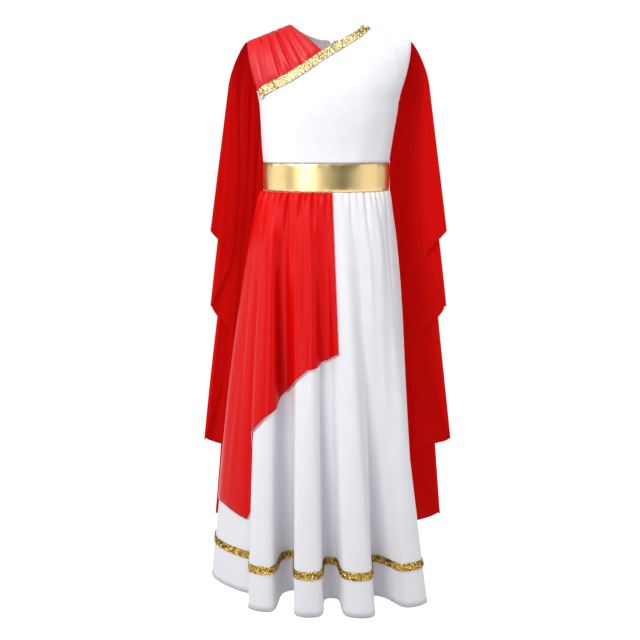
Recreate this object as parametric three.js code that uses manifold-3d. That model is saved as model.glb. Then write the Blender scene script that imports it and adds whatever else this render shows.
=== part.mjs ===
// A child's roman toga costume in its worn shape with no wearer inside: a sleeveless white bodice with a
// gathered red shoulder yoke, a gold waistband, a gathered white skirt under a red half overlay, gold
// sequin trims, red shoulder capes that fall in a cascade, and a zip down the centre back.
// Millimetres, +Z up. The front faces -Y, and +X is the wearer's left, on the right of the front view.
// The origin is midway between the two neck points, on the line where the shoulders carry the dress.

import Module from "manifold-3d";
import * as THREE from "three";
import { mergeVertices } from "three/addons/utils/BufferGeometryUtils.js";

const solidKit = await Module();
solidKit.setup();

// Cloth thicknesses, and the gaps at a seam and under what lies on top.
const knitWall = 1.6;
const chiffonWall = 1.2;
const bandWall = 2.2;
const trimWall = 1.2;
const seamGap = 0.3;
const overlayGap = 1.2;
const trimGap = 1.0;

// Heights are drops below the neck points.
const shoulderDrop = 27;
const frontNeckDrop = 49;
const backNeckDrop = 21;
const underarmDrop = 125;
const waistbandTop = 229;
const waistbandHeight = 48;
const hemTrimTop = 917;
const dressLength = 997;
const trimWidth = 14;

// Half widths and depths of the worn bodice. It leans a little to the right at the waist.
const neckHalfWidth = 66;
const frontNeckX = -9;
const shoulderHalfWidth = 138;
const shoulderBreadth = 152;
const chestHalfWidth = 119.5;
const waistHalfWidth = 108.4;
const chestFrontDepth = 112;
const chestBackDepth = 104;
const waistHalfDepth = 80;
const frontCrown = 80;
const backCrown = 58;
const waistShift = -4.5;
const torsoRoundness = 2.3;

const skirtTop = waistbandTop + waistbandHeight + seamGap;
const skirtLength = dressLength - skirtTop;

const cloth = {
  white: new THREE.MeshStandardMaterial({ color: 0xf4f3f7, roughness: 0.75, metalness: 0 }),
  red: new THREE.MeshStandardMaterial({ color: 0xe8222c, roughness: 0.6, metalness: 0 }),
  capeRed: new THREE.MeshStandardMaterial({ color: 0xcc0703, roughness: 0.7, metalness: 0 }),
  goldFoil: new THREE.MeshStandardMaterial({ color: 0xd8b765, roughness: 0.3, metalness: 0.85 }),
  goldSequin: new THREE.MeshStandardMaterial({ color: 0xc9a335, roughness: 0.4, metalness: 0.8 }),
  zipMetal: new THREE.MeshStandardMaterial({ color: 0xe9e9ec, roughness: 0.4, metalness: 0.1 }),
};

const costume = new THREE.Group();

const lerp = THREE.MathUtils.lerp;
const clamp = THREE.MathUtils.clamp;
const smooth = (share) => THREE.MathUtils.smoothstep(share, 0, 1);
const radians = THREE.MathUtils.degToRad;
const quarter = Math.PI / 2;

// The value of one column of a table at a place between its rows, in a straight line from row to row.
function between(table, key, at, column) {
  const last = table.length - 1;
  const next = table.findIndex((row) => row[key] >= at);
  if (next === 0) return table[0][column];
  if (next < 0) return table[last][column];
  const from = table[next - 1];
  const to = table[next];
  return lerp(from[column], to[column], (at - from[key]) / (to[key] - from[key]));
}

// The outward direction of a sheet at each point of its grid. Rows run down and columns run to the right
// as seen from outside. facing is -1 for a grid whose columns run the other way, and round is true for one
// whose last column meets its first.
function normalsOf(rows, { facing = 1, round = false } = {}) {
  const lastRow = rows.length - 1;
  const columns = rows[0].length;
  const beside = (c) => (round ? (c + columns) % columns : clamp(c, 0, columns - 1));
  return rows.map((row, r) =>
    row.map((point, c) => {
      const [above, below] = [rows[Math.max(r - 1, 0)][c], rows[Math.min(r + 1, lastRow)][c]];
      const down = new THREE.Vector3().subVectors(below, above);
      const right = new THREE.Vector3().subVectors(row[beside(c + 1)], row[beside(c - 1)]);
      return down.cross(right).normalize().multiplyScalar(facing);
    }),
  );
}

// A sheet's points moved out along its normals, by a number or by a function of row and column.
function movedOut(rows, normals, distance) {
  return rows.map((row, r) =>
    row.map((point, c) => {
      const out = typeof distance === "function" ? distance(r, c) : distance;
      return point.clone().addScaledVector(normals[r][c], out);
    }),
  );
}

// A closed wall of cloth between two grids of points, its outer face and its inner face.
function wall(outer, inner) {
  const indexOf = new Map();
  const positions = [];
  const vertex = (point) => {
    const key = `${point.x.toFixed(3)} ${point.y.toFixed(3)} ${point.z.toFixed(3)}`;
    if (!indexOf.has(key)) {
      indexOf.set(key, positions.length / 3);
      positions.push(point.x, point.y, point.z);
    }
    return indexOf.get(key);
  };
  const faces = [];
  const triangle = (a, b, c) => {
    const [i, j, k] = [vertex(a), vertex(b), vertex(c)];
    if (i !== j && j !== k && k !== i) faces.push(i, j, k);
  };
  const quad = (a, b, c, d) => {
    triangle(a, b, c);
    triangle(a, c, d);
  };
  const lastRow = outer.length - 1;
  const lastColumn = outer[0].length - 1;
  for (let r = 0; r < lastRow; r++)
    for (let c = 0; c < lastColumn; c++) {
      quad(outer[r][c], outer[r + 1][c], outer[r + 1][c + 1], outer[r][c + 1]);
      quad(inner[r][c], inner[r][c + 1], inner[r + 1][c + 1], inner[r + 1][c]);
    }
  for (let c = 0; c < lastColumn; c++) {
    quad(outer[0][c], outer[0][c + 1], inner[0][c + 1], inner[0][c]);
    quad(outer[lastRow][c + 1], outer[lastRow][c], inner[lastRow][c], inner[lastRow][c + 1]);
  }
  for (let r = 0; r < lastRow; r++) {
    quad(outer[r + 1][0], outer[r][0], inner[r][0], inner[r + 1][0]);
    quad(outer[r][lastColumn], outer[r + 1][lastColumn], inner[r + 1][lastColumn], inner[r][lastColumn]);
  }
  const geometry = new THREE.BufferGeometry();
  geometry.setAttribute("position", new THREE.Float32BufferAttribute(positions, 3));
  geometry.setIndex(faces);
  return facingOut(geometry);
}

// The same closed geometry with its faces turned to point out, if they pointed in.
function facingOut(geometry) {
  const p = geometry.getAttribute("position");
  const corner = [new THREE.Vector3(), new THREE.Vector3(), new THREE.Vector3()];
  const index = geometry.getIndex().array;
  let volume = 0;
  for (let i = 0; i < index.length; i += 3) {
    corner.forEach((v, k) => v.fromBufferAttribute(p, index[i + k]));
    volume += corner[0].dot(corner[1].clone().cross(corner[2]));
  }
  if (volume < 0) geometry.setIndex(Array.from(index).reverse());
  geometry.computeVertexNormals();
  return geometry;
}

// Two closed solids joined into one.
function united(first, second) {
  const solids = [first, second].map((geometry) => {
    const bare = geometry.clone().deleteAttribute("normal").deleteAttribute("uv");
    const welded = mergeVertices(bare);
    return solidKit.Manifold.ofMesh(new solidKit.Mesh({
      numProp: 3,
      vertProperties: new Float32Array(welded.getAttribute("position").array),
      triVerts: new Uint32Array(welded.getIndex().array),
    }));
  });
  const mesh = solids[0].add(solids[1]).getMesh();
  const geometry = new THREE.BufferGeometry();
  geometry.setAttribute("position", new THREE.Float32BufferAttribute(mesh.vertProperties, 3));
  geometry.setIndex(Array.from(mesh.triVerts));
  return facingOut(geometry);
}

function addPiece(name, geometry, material, group = costume) {
  const mesh = new THREE.Mesh(geometry, material);
  mesh.name = name;
  group.add(mesh);
  return mesh;
}

// Bodice: the figure that the cloth follows, as an angle around it (-90 to 90 degrees, seen from the front)
// and a height. side is -1 for the front and 1 for the back.
const slopeEnds = 60;
const chestEnds = 90;

function torsoHalfWidth(z) {
  const overArm = clamp((underarmDrop + z) / (underarmDrop - shoulderDrop), 0, 1);
  const belowArm = clamp((-z - underarmDrop) / (waistbandTop - underarmDrop), 0, 1);
  return lerp(lerp(chestHalfWidth, waistHalfWidth, belowArm), shoulderBreadth, overArm ** 0.82);
}

function torsoShift(z) {
  return waistShift * smooth((-z - underarmDrop) / (waistbandTop - underarmDrop));
}

function torso(side, angle, z) {
  const across = Math.sign(angle) * Math.abs(Math.sin(angle)) ** (2 / torsoRoundness);
  const forward = Math.abs(Math.cos(angle)) ** (2 / torsoRoundness);
  const x = across * torsoHalfWidth(z);
  const slope = clamp((Math.abs(x) - neckHalfWidth) / (shoulderHalfWidth - neckHalfWidth), 0, 1);
  const slopeShare = 1 - smooth((-z - slopeEnds) / (waistbandTop - slopeEnds));
  const below = Math.max(-z - shoulderDrop * slope * slopeShare, 0);
  const crown = side < 0 ? frontCrown : backCrown;
  const rise = Math.sqrt(below / (below + crown));
  const waistRise = Math.sqrt(waistbandTop / (waistbandTop + crown));
  const chestDepth = side < 0 ? chestFrontDepth : chestBackDepth;
  const waisted = smooth((-z - chestEnds) / (waistbandTop - chestEnds));
  const depth = lerp(chestDepth, waistHalfDepth / waistRise, waisted);
  const y = side * Math.max(depth * rise * forward, seamGap / 2);
  return new THREE.Vector3(x + torsoShift(z), y, z);
}

// The angle around the figure at which a front-view place lies.
function angleAt(x, z) {
  const share = clamp((x - torsoShift(z)) / torsoHalfWidth(z), -1, 1);
  return Math.sign(share) * Math.asin(Math.abs(share) ** (torsoRoundness / 2));
}

// The outward direction of the figure at a place on it.
function torsoNormal(side, angle, z) {
  const [from, to] = [angle - 0.02, angle + 0.02].map((value) => clamp(value, -quarter, quarter));
  const right = torso(side, to, z).sub(torso(side, from, z));
  const down = torso(side, angle, z - 1).sub(torso(side, angle, z + 1));
  return down.cross(right).normalize().multiplyScalar(-side);
}

// A panel's edges are lists of places { x, z } seen from the front. The inside of the panel is blended from
// its four edges. What is returned gives the panel's points moved out by a distance.
function torsoPanel(side, top, bottom, left, right) {
  const rows = left.length - 1;
  const columns = top.length - 1;
  const places = left.map((leftPlace, r) =>
    top.map((topPlace, c) => {
      const [u, v] = [c / columns, r / rows];
      const blend = (key) =>
        lerp(topPlace[key], bottom[c][key], v) +
        lerp(leftPlace[key], right[r][key], u) -
        lerp(lerp(top[0][key], top[columns][key], u), lerp(bottom[0][key], bottom[columns][key], u), v);
      return { angle: angleAt(blend("x"), blend("z")), z: blend("z") };
    }),
  );
  const points = places.map((row) => row.map(({ angle, z }) => torso(side, angle, z)));
  const normals = places.map((row) => row.map(({ angle, z }) => torsoNormal(side, angle, z)));
  return (out) => movedOut(points, normals, out);
}

// Places spread along a path of front-view points, each { x, drop }, by their distance in that view.
function alongPath(path, count, rise = 0) {
  const lengths = [0];
  for (let i = 1; i < path.length; i++)
    lengths.push(lengths[i - 1] + Math.hypot(path[i].x - path[i - 1].x, path[i].drop - path[i - 1].drop));
  const table = path.map((point, i) => ({ ...point, at: lengths[i] }));
  return Array.from({ length: count + 1 }, (_, i) => {
    const at = (lengths[lengths.length - 1] * i) / count;
    return { x: between(table, "at", at, "x"), z: rise - between(table, "at", at, "drop") };
  });
}

const joined = (...paths) => paths.flatMap((path, i) => (i ? path.slice(1) : path));

// The edge of an armhole from the shoulder tip down to the underarm, on the wearer's left.
const armhole = [
  { x: shoulderHalfWidth, drop: shoulderDrop },
  { x: 137, drop: 38 },
  { x: 135, drop: 54 },
  { x: 131.5, drop: 72 },
  { x: 127.5, drop: 88 },
  { x: 123.5, drop: 101 },
  { x: 120.5, drop: 111 },
  { x: 119, drop: 119 },
  { x: chestHalfWidth, drop: underarmDrop },
];
// The line on which the yoke meets the front, from low on the right armhole to the point of the neckline.
const yokeSeam = [
  { x: -120.5, drop: 111 },
  { x: -108, drop: 107.5 },
  { x: -92, drop: 101 },
  { x: -72, drop: 92.5 },
  { x: -54, drop: 82 },
  { x: -35, drop: 69.5 },
  { x: -19, drop: 58 },
  { x: frontNeckX, drop: frontNeckDrop },
];
const neckline = [
  { x: frontNeckX, drop: frontNeckDrop },
  { x: 8, drop: 37 },
  { x: 36, drop: 19 },
  { x: neckHalfWidth, drop: 0 },
];
const neckPoint = { x: neckHalfWidth, drop: 0 };
const shoulderTip = { x: shoulderHalfWidth, drop: shoulderDrop };
const handed = (hand, path) => path.map(({ x, drop }) => ({ x: hand * x, drop }));

const armholeRows = 6;
const sideRows = 3;
const neckColumns = 7;
const shoulderColumns = 5;

// The lower edges that front and back share: the side seam from the underarm, and the seam at the waist.
const sideSeam = (hand, fromDrop, rows) =>
  Array.from({ length: rows + 1 }, (_, i) => {
    const z = -lerp(fromDrop, waistbandTop - seamGap, i / rows);
    return { x: hand * torsoHalfWidth(z) + torsoShift(z), z };
  });
const waistLine = (fromAngle, toAngle, columns) =>
  Array.from({ length: columns + 1 }, (_, i) => {
    const z = -(waistbandTop - seamGap);
    return { x: torso(-1, lerp(fromAngle, toAngle, i / columns), z).x, z };
  });

// The white front is cut in one: its left edge is a side seam, its right edge an armhole over a side seam,
// and its top the yoke seam, half of the neckline and the left shoulder.
function frontPanel() {
  const seam = alongPath(yokeSeam, yokeFoldColumns, -seamGap / 2);
  const shoulder = alongPath([neckPoint, shoulderTip], shoulderColumns);
  const top = joined(seam, alongPath(neckline, neckColumns), shoulder);
  const belowYoke = handed(-1, armhole.slice(-3));
  const underarm = alongPath(belowYoke, belowYoke.length - 1, -seamGap / 2);
  const left = joined(underarm, sideSeam(-1, underarmDrop, armholeRows + sideRows - underarm.length + 1));
  const right = joined(alongPath(armhole, armholeRows), sideSeam(1, underarmDrop, sideRows));
  return torsoPanel(-1, top, waistLine(-quarter, quarter, top.length - 1), left, right);
}

// The yoke is red knit gathered at the shoulder and under the trim, so that it lies in soft folds.
const yokeRows = 8;
const yokeFoldHeight = 3.2;
const yokeFolds = 6;
const yokeFoldColumns = 24;

function yokePanel() {
  const seam = alongPath(yokeSeam, yokeFoldColumns, seamGap / 2);
  const shoulder = alongPath(handed(-1, [shoulderTip, neckPoint]), yokeFoldColumns);
  const neckEdge = alongPath([...handed(-1, [neckPoint]), neckline[0]], yokeRows, seamGap / 2);
  const armEdge = alongPath(handed(-1, armhole.slice(0, -2)), yokeRows, seamGap / 2);
  return torsoPanel(-1, shoulder, seam, armEdge, neckEdge);
}

// Half of the back, from the centre zip to a side seam: hand is 1 for the wearer's left and -1 for the right.
// The corner by the zip is cut away a little, which leaves the small notch at the top of the zip.
const backCentreX = 5;
const backNeckline = [
  { share: 0, drop: backNeckDrop + 4.5 },
  { share: 0.07, drop: backNeckDrop },
  { share: 0.3, drop: backNeckDrop - 2 },
  { share: 0.62, drop: backNeckDrop - 9 },
  { share: 1, drop: 0 },
];

const centreBackX = (z) => lerp(backCentreX, 0, smooth((-z - backNeckDrop) / 150)) + torsoShift(z);

function backPanel(hand) {
  const neckEdge = backNeckline.map(({ share, drop }) => ({
    x: lerp(centreBackX(-drop) + (hand * seamGap) / 2, hand * neckHalfWidth, share),
    drop,
  }));
  const shoulder = alongPath(handed(hand, [neckPoint, shoulderTip]), shoulderColumns);
  const top = joined(alongPath(neckEdge, neckColumns), shoulder);
  const rows = armholeRows + sideRows;
  const centre = Array.from({ length: rows + 1 }, (_, i) => {
    const z = -lerp(backNeckline[0].drop, waistbandTop - seamGap, (i / rows) ** 1.5);
    return { x: centreBackX(z) + (hand * seamGap) / 2, z };
  });
  const zipFoot = centre[rows];
  const bottom = waistLine(angleAt(zipFoot.x, zipFoot.z), hand * quarter, top.length - 1);
  const side = joined(alongPath(handed(hand, armhole), armholeRows), sideSeam(hand, underarmDrop, sideRows));
  return torsoPanel(1, top, bottom, centre, side);
}

const front = frontPanel();
addPiece("bodice_front", wall(front(knitWall), front(0)), cloth.white);

const yoke = yokePanel();
const yokeFold = (r, c) => {
  const pressed = Math.min(1, (yokeRows - r) / 2.5) * Math.min(1, (r + 0.6) / 2);
  const edge = Math.min(1, c / 2, (yokeFoldColumns - c) / 2);
  const swell = 0.5 - 0.5 * Math.cos((2 * Math.PI * yokeFolds * c) / yokeFoldColumns);
  return yokeFoldHeight * pressed * edge * swell;
};
const yokeOuter = yoke((r, c) => knitWall + yokeFold(r, c));
addPiece("shoulder_yoke", wall(yokeOuter, yoke(yokeFold)), cloth.red);

for (const [name, hand] of [["bodice_back_left", 1], ["bodice_back_right", -1]]) {
  const back = backPanel(hand);
  addPiece(name, wall(back(knitWall), back(0)), cloth.white);
}

// Zip: the slider rests at the top of the centre back, and its pull hangs from a bridge on it. Both are drawn
// in the zip's own frame, x across, y down the back and z away from it.
const slider = { topWidth: 7, footWidth: 5, length: 9.5, thick: 1.8, drop: 31.5, bevel: 1.2 };
const bridge = { width: 1.8, inside: 2.4, post: 0.9, height: 1.8, at: 4, bevel: 0.6 };
const pull = { width: 5.4, bar: 1.1, window: 3.6, frame: 1.1, waistAt: 5, length: 15, thick: 1.1, bevel: 1.2 };

function shapeOf(points) {
  return new THREE.Shape(points.map(([x, y]) => new THREE.Vector2(x, y)));
}

// A path's points, and the same points mirrored back from the last to the first.
function bothSides(points) {
  return [...points, ...points.map(([x, y]) => [-x, y]).reverse()];
}

function zipSlider() {
  const [top, foot] = [slider.topWidth / 2, slider.footWidth / 2];
  const plate = shapeOf(bothSides([[top - slider.bevel, 0], [top, slider.bevel], [foot, slider.length]]));
  const body = new THREE.ExtrudeGeometry(plate, { depth: slider.thick, bevelEnabled: false });
  const half = bridge.inside / 2;
  const reach = half + bridge.post;
  const inside = slider.thick + bridge.height;
  const outside = inside + bridge.post;
  const sunk = slider.thick / 2;
  const arch = shapeOf(bothSides([
    [half, inside],
    [half, sunk],
    [reach, sunk],
    [reach, outside - bridge.bevel],
    [reach - bridge.bevel, outside],
  ]));
  const loop = new THREE.ExtrudeGeometry(arch, { depth: bridge.width, bevelEnabled: false });
  loop.rotateX(quarter);
  loop.rotateZ(quarter);
  loop.translate(-bridge.width / 2, bridge.at, 0);
  return united(body, loop);
}

// The pull is drawn from its hinge bar, which lies under the bridge.
function zipPull() {
  const half = pull.width / 2;
  const bar = pull.bar / 2;
  const plate = shapeOf(bothSides([
    [half, -bar],
    [half, pull.waistAt],
    [half - 0.6, pull.length - pull.bevel],
    [half - 0.6 - pull.bevel, pull.length],
  ]));
  const inset = half - pull.frame;
  plate.holes.push(shapeOf(bothSides([[inset, bar], [inset, pull.window]])));
  const tab = new THREE.ExtrudeGeometry(plate, { depth: pull.thick, bevelEnabled: false });
  return facingOut(mergeVertices(tab.translate(0, 0, -pull.thick / 2)));
}

const zipPlace = { x: centreBackX(-slider.drop), z: -slider.drop };
const zipAngle = angleAt(zipPlace.x, zipPlace.z);
const zipOut = torsoNormal(1, zipAngle, zipPlace.z).setX(0).normalize();
const zipAcross = new THREE.Vector3(1, 0, 0);
const zipDown = new THREE.Vector3().crossVectors(zipOut, zipAcross);
const zip = new THREE.Group();
zip.quaternion.setFromRotationMatrix(new THREE.Matrix4().makeBasis(zipAcross, zipDown, zipOut));
zip.position.copy(torso(1, zipAngle, zipPlace.z)).addScaledVector(zipOut, knitWall + 2 * seamGap);
costume.add(zip);

addPiece("zip_slider", zipSlider(), cloth.zipMetal, zip);
const zipTab = addPiece("zip_pull", zipPull(), cloth.zipMetal, zip);
zipTab.position.set(0, bridge.at, slider.thick + seamGap + pull.bar / 2);

// Neck trim: a sequin band along the neckline's left half, then over the yoke seam to the right underarm.
const trimPath = [
  { x: 62, drop: 7 },
  { x: 50, drop: 18.5 },
  { x: 32, drop: 30 },
  { x: 13, drop: 41 },
  { x: -3, drop: 50 },
  { x: -19, drop: 60 },
  { x: -35, drop: 71 },
  { x: -54, drop: 83 },
  { x: -72, drop: 93 },
  { x: -92, drop: 102 },
  { x: -106, drop: 108.5 },
  { x: -115, drop: 115 },
];
const trimSteps = 26;

function chestAt(x, z, out) {
  const angle = angleAt(x, z);
  return torso(-1, angle, z).addScaledVector(torsoNormal(-1, angle, z), out);
}

function neckTrim() {
  const centre = alongPath(trimPath, trimSteps);
  const grid = (out) =>
    [-1, 0, 1].map((edge) =>
      centre.map(({ x, z }, i) => {
        const from = centre[Math.max(i - 1, 0)];
        const to = centre[Math.min(i + 1, trimSteps)];
        const path = chestAt(to.x, to.z, 0).sub(chestAt(from.x, from.z, 0)).normalize();
        const normal = torsoNormal(-1, angleAt(x, z), z);
        const across = path.cross(normal).normalize().multiplyScalar((edge * trimWidth) / 2);
        return chestAt(x + across.x, z + across.z, out);
      }),
    );
  return wall(grid(knitWall + trimGap + trimWall), grid(knitWall + trimGap));
}
addPiece("neck_trim", neckTrim(), cloth.goldSequin);

// A place on the waist's outline, at an angle from the front towards the wearer's left, moved out.
function waistPoint(angle, out, z) {
  const across = Math.sign(Math.sin(angle)) * Math.abs(Math.sin(angle)) ** (2 / torsoRoundness);
  const forward = Math.sign(Math.cos(angle)) * Math.abs(Math.cos(angle)) ** (2 / torsoRoundness);
  return new THREE.Vector3((waistHalfWidth + out) * across + waistShift, -(waistHalfDepth + out) * forward, z);
}

// Waistband: gold foil cloth, flat and firm, in one front and two backs.
const waistbands = [
  { name: "waistband_front", from: -90, to: 90, columns: 24 },
  { name: "waistband_back_left", from: 90, to: 180, columns: 12 },
  { name: "waistband_back_right", from: 180, to: 270, columns: 12 },
];
const bandSeam = (0.75 * seamGap) / waistHalfDepth;

for (const { name, from, to, columns } of waistbands) {
  const band = (out) =>
    [waistbandTop, waistbandTop + waistbandHeight].map((drop) =>
      Array.from({ length: columns + 1 }, (_, i) =>
        waistPoint(lerp(radians(from) + bandSeam, radians(to) - bandSeam, i / columns), out, -drop),
      ),
    );
  addPiece(name, wall(band(bandWall), band(0)), cloth.goldFoil);
}

// Skirt: gathered small at the waist and hanging in eleven deep folds at the hem. Each row is one fold's
// outline at the hem, seen from above: the two shoulders of its crest, then of the hollow after it.
const hemFolds = [
  { crestLeft: [-214, 16], crestRight: [-214, -30], hollowLeft: [-150, -92], hollowRight: [-120, -94] },
  { crestLeft: [-140, -148], crestRight: [-101, -162], hollowLeft: [-82, -93], hollowRight: [-60, -84] },
  { crestLeft: [-55, -176], crestRight: [-16, -178], hollowLeft: [-6, -116], hollowRight: [16, -116] },
  { crestLeft: [32, -178], crestRight: [75, -180], hollowLeft: [80, -104], hollowRight: [100, -110] },
  { crestLeft: [137, -147], crestRight: [174, -127], hollowLeft: [148, -84], hollowRight: [150, -58] },
  { crestLeft: [165, -24], crestRight: [163, 24], hollowLeft: [130, 46], hollowRight: [112, 70] },
  { crestLeft: [143, 108], crestRight: [114, 139], hollowLeft: [66, 86], hollowRight: [48, 97] },
  { crestLeft: [73, 162], crestRight: [34, 176], hollowLeft: [18, 108], hollowRight: [0, 108] },
  { crestLeft: [-8, 180], crestRight: [-50, 176], hollowLeft: [-35, 106], hollowRight: [-53, 98] },
  { crestLeft: [-94, 163], crestRight: [-128, 137], hollowLeft: [-85, 84], hollowRight: [-98, 68] },
  { crestLeft: [-164, 104], crestRight: [-184, 66], hollowLeft: [-152, 46], hollowRight: [-158, 30] },
];
const columnsPerFold = 16;
const columnsPerGather = 4;
const skirtColumns = hemFolds.length * columnsPerFold;
const overlayColumns = 51;
const leftSeamColumn = 88;
const centreBackColumn = 132;
// How far round the waist, from the right side seam, the columns of the hem's folds are sewn to it.
const waistShares = [
  { column: 0, share: 0 },
  { column: overlayColumns, share: 0.266 },
  { column: leftSeamColumn, share: 0.5 },
  { column: centreBackColumn, share: 0.75 },
  { column: skirtColumns, share: 1 },
];
const skirtLevels = [0, 0.035, 0.09, 0.17, 0.28, 0.42, 0.58, 0.78, 1];
const hemCentre = { x: -20, y: -5 };
const hemHalfWidth = 165;
const hemHalfDepth = 140;

const hemOutline = new THREE.CatmullRomCurve3(
  hemFolds
    .flatMap((fold) => [fold.crestLeft, fold.crestRight, fold.hollowLeft, fold.hollowRight])
    .map(([x, y]) => new THREE.Vector3(x, y, 0)),
  true,
  "centripetal",
);

// The hem's place in each column. A fold's columns are spaced evenly along its cloth, and it begins in the
// middle of the hollow before its crest.
function hemPoints() {
  const fine = 96;
  const points = [];
  for (let fold = 0; fold < hemFolds.length; fold++) {
    const trace = Array.from({ length: fine + 1 }, (_, i) => {
      const at = (4 * (fold + i / fine) - 0.5) / (4 * hemFolds.length);
      return hemOutline.getPoint((at + 1) % 1);
    });
    const lengths = [0];
    for (let i = 1; i <= fine; i++) lengths.push(lengths[i - 1] + trace[i].distanceTo(trace[i - 1]));
    const table = trace.map(({ x, y }, i) => ({ at: lengths[i], x, y }));
    for (let c = 0; c < columnsPerFold; c++) {
      const at = (lengths[fine] * c) / columnsPerFold;
      points.push({ x: between(table, "at", at, "x"), y: between(table, "at", at, "y") });
    }
  }
  return points;
}
const hem = hemPoints();

// The angle round the waist of each column.
function waistAngles() {
  const fine = 720;
  const table = [{ at: 0, angle: -quarter }];
  for (let i = 1; i <= fine; i++) {
    const angle = (4 * quarter * i) / fine - quarter;
    const step = waistPoint(angle, 0, 0).distanceTo(waistPoint(table[i - 1].angle, 0, 0));
    table.push({ at: table[i - 1].at + step, angle });
  }
  const round = table[fine].at;
  return Array.from({ length: skirtColumns }, (_, c) =>
    between(table, "at", round * between(waistShares, "column", c, "share"), "angle"),
  );
}
const waistAngle = waistAngles();

// A fold's column at a level of the skirt, 0 at the waist and 1 at the hem: a bell that widens quickly over
// the hips, with the folds growing out of it as it falls.
function skirtPoint(column, level) {
  const { x: hemX, y: hemY } = hem[column];
  const hemAngle = Math.atan2((hemX - hemCentre.x) / hemHalfWidth, -(hemY - hemCentre.y) / hemHalfDepth);
  const turned = hemAngle - waistAngle[column];
  const swing = turned - 2 * Math.PI * Math.round(turned / (2 * Math.PI));
  const spread = level ** 0.6;
  const angle = waistAngle[column] + swing * level ** 0.8;
  const roundness = 2 / lerp(torsoRoundness, 2, spread);
  const across = Math.sign(Math.sin(angle)) * Math.abs(Math.sin(angle)) ** roundness;
  const forward = Math.sign(Math.cos(angle)) * Math.abs(Math.cos(angle)) ** roundness;
  const foldX = hemX - (hemCentre.x + hemHalfWidth * Math.sin(hemAngle));
  const foldY = hemY - (hemCentre.y - hemHalfDepth * Math.cos(hemAngle));
  const depth = level ** 1.15;
  return new THREE.Vector3(
    lerp(waistShift, hemCentre.x, spread) + lerp(waistHalfWidth, hemHalfWidth, spread) * across + foldX * depth,
    lerp(0, hemCentre.y, spread) - lerp(waistHalfDepth, hemHalfDepth, spread) * forward + foldY * depth,
    -(skirtTop + level * skirtLength),
  );
}

// Small gathers under the waistband, which swell below the seam and fade into the folds.
function gather(column, level) {
  const height = (1.7 + 20 * level) * Math.exp(-((level / 0.16) ** 2));
  const uneven = 0.85 + 0.25 * Math.sin(2.4 * Math.floor(column / columnsPerGather));
  return height * uneven * Math.cos((2 * Math.PI * column) / columnsPerGather);
}

const skirtRows = skirtLevels.map((level) =>
  Array.from({ length: skirtColumns }, (_, column) => skirtPoint(column, level)),
);
const skirtNormals = normalsOf(skirtRows, { round: true });
for (const normal of skirtNormals[0]) normal.setZ(0).normalize();

// One panel of the skirt, from one seam to the next, as a function that moves its points out by a distance.
function skirtPanel(firstColumn, lastColumn) {
  const columns = Array.from({ length: lastColumn - firstColumn + 1 }, (_, i) => firstColumn + i);
  const points = skirtRows.map((row) => columns.map((column) => row[column % skirtColumns].clone()));
  const normals = skirtNormals.map((row) => columns.map((column) => row[column % skirtColumns]));
  for (const row of points) {
    const last = row.length - 1;
    const ends = [row[1].clone().sub(row[0]), row[last - 1].clone().sub(row[last])];
    row[0].addScaledVector(ends[0].normalize(), seamGap / 2);
    row[last].addScaledVector(ends[1].normalize(), seamGap / 2);
  }
  return (out) => movedOut(points, normals, (r, c) => out + gather(columns[c], skirtLevels[r]));
}

const skirtPanels = {
  front: skirtPanel(0, leftSeamColumn),
  back_left: skirtPanel(leftSeamColumn, centreBackColumn),
  back_right: skirtPanel(centreBackColumn, skirtColumns),
};
for (const [name, panel] of Object.entries(skirtPanels))
  addPiece(`skirt_${name}`, wall(panel(knitWall), panel(0)), cloth.white);

// A panel's points in one column at a height between its rows, and the row that lies nearest to them.
function atDrop(rows, column, drop) {
  const level = (drop - skirtTop) / skirtLength;
  const below = skirtLevels.findIndex((value) => value >= level);
  const share = (level - skirtLevels[below - 1]) / (skirtLevels[below] - skirtLevels[below - 1]);
  const point = rows[below - 1][column].clone().lerp(rows[below][column], share);
  return { point, row: share < 0.35 ? below - 1 : below };
}

// Hem trim: the same sequin band round each panel, laid on its outer face.
function hemTrim(panel) {
  const band = (out) => {
    const rows = panel(out);
    const edges = [hemTrimTop, hemTrimTop + trimWidth];
    return edges.map((drop) => rows[0].map((_, c) => atDrop(rows, c, drop).point));
  };
  const clear = knitWall + 2 * seamGap;
  return wall(band(clear + trimWall), band(clear));
}
for (const [name, panel] of Object.entries(skirtPanels))
  addPiece(`hem_trim_${name}`, hemTrim(panel), cloth.goldSequin);

// Overlay: a red half skirt over the front's right half, from the side seam to the middle. Its hem runs
// level round the side, climbs steeply in the first hollow and then slants up to the middle.
const overlayHem = [
  { column: 0, drop: 852 },
  { column: 4, drop: 858 },
  { column: 8, drop: 852 },
  { column: 12, drop: 850 },
  { column: 14, drop: 800 },
  { column: 16, drop: 745 },
  { column: 18, drop: 688 },
  { column: 22, drop: 646 },
  { column: 26, drop: 634 },
  { column: 30, drop: 611 },
  { column: 35, drop: 594 },
  { column: 38, drop: 572 },
  { column: 43, drop: 564 },
  { column: 51, drop: 546 },
];

// The overlay's rows follow the skirt's down to its own hem, where the rest of them end.
function overlay(panel) {
  const cut = (out) => {
    const rows = panel(out);
    const hemOf = Array.from({ length: overlayColumns + 1 }, (_, c) =>
      atDrop(rows, c, between(overlayHem, "column", c, "drop")),
    );
    return rows.map((row, r) => hemOf.map((hemPlace, c) => (r < hemPlace.row ? row[c] : hemPlace.point)));
  };
  const clear = knitWall + overlayGap;
  return wall(cut(clear + chiffonWall), cut(clear));
}
addPiece("overlay", overlay(skirtPanels.front), cloth.red);

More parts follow.
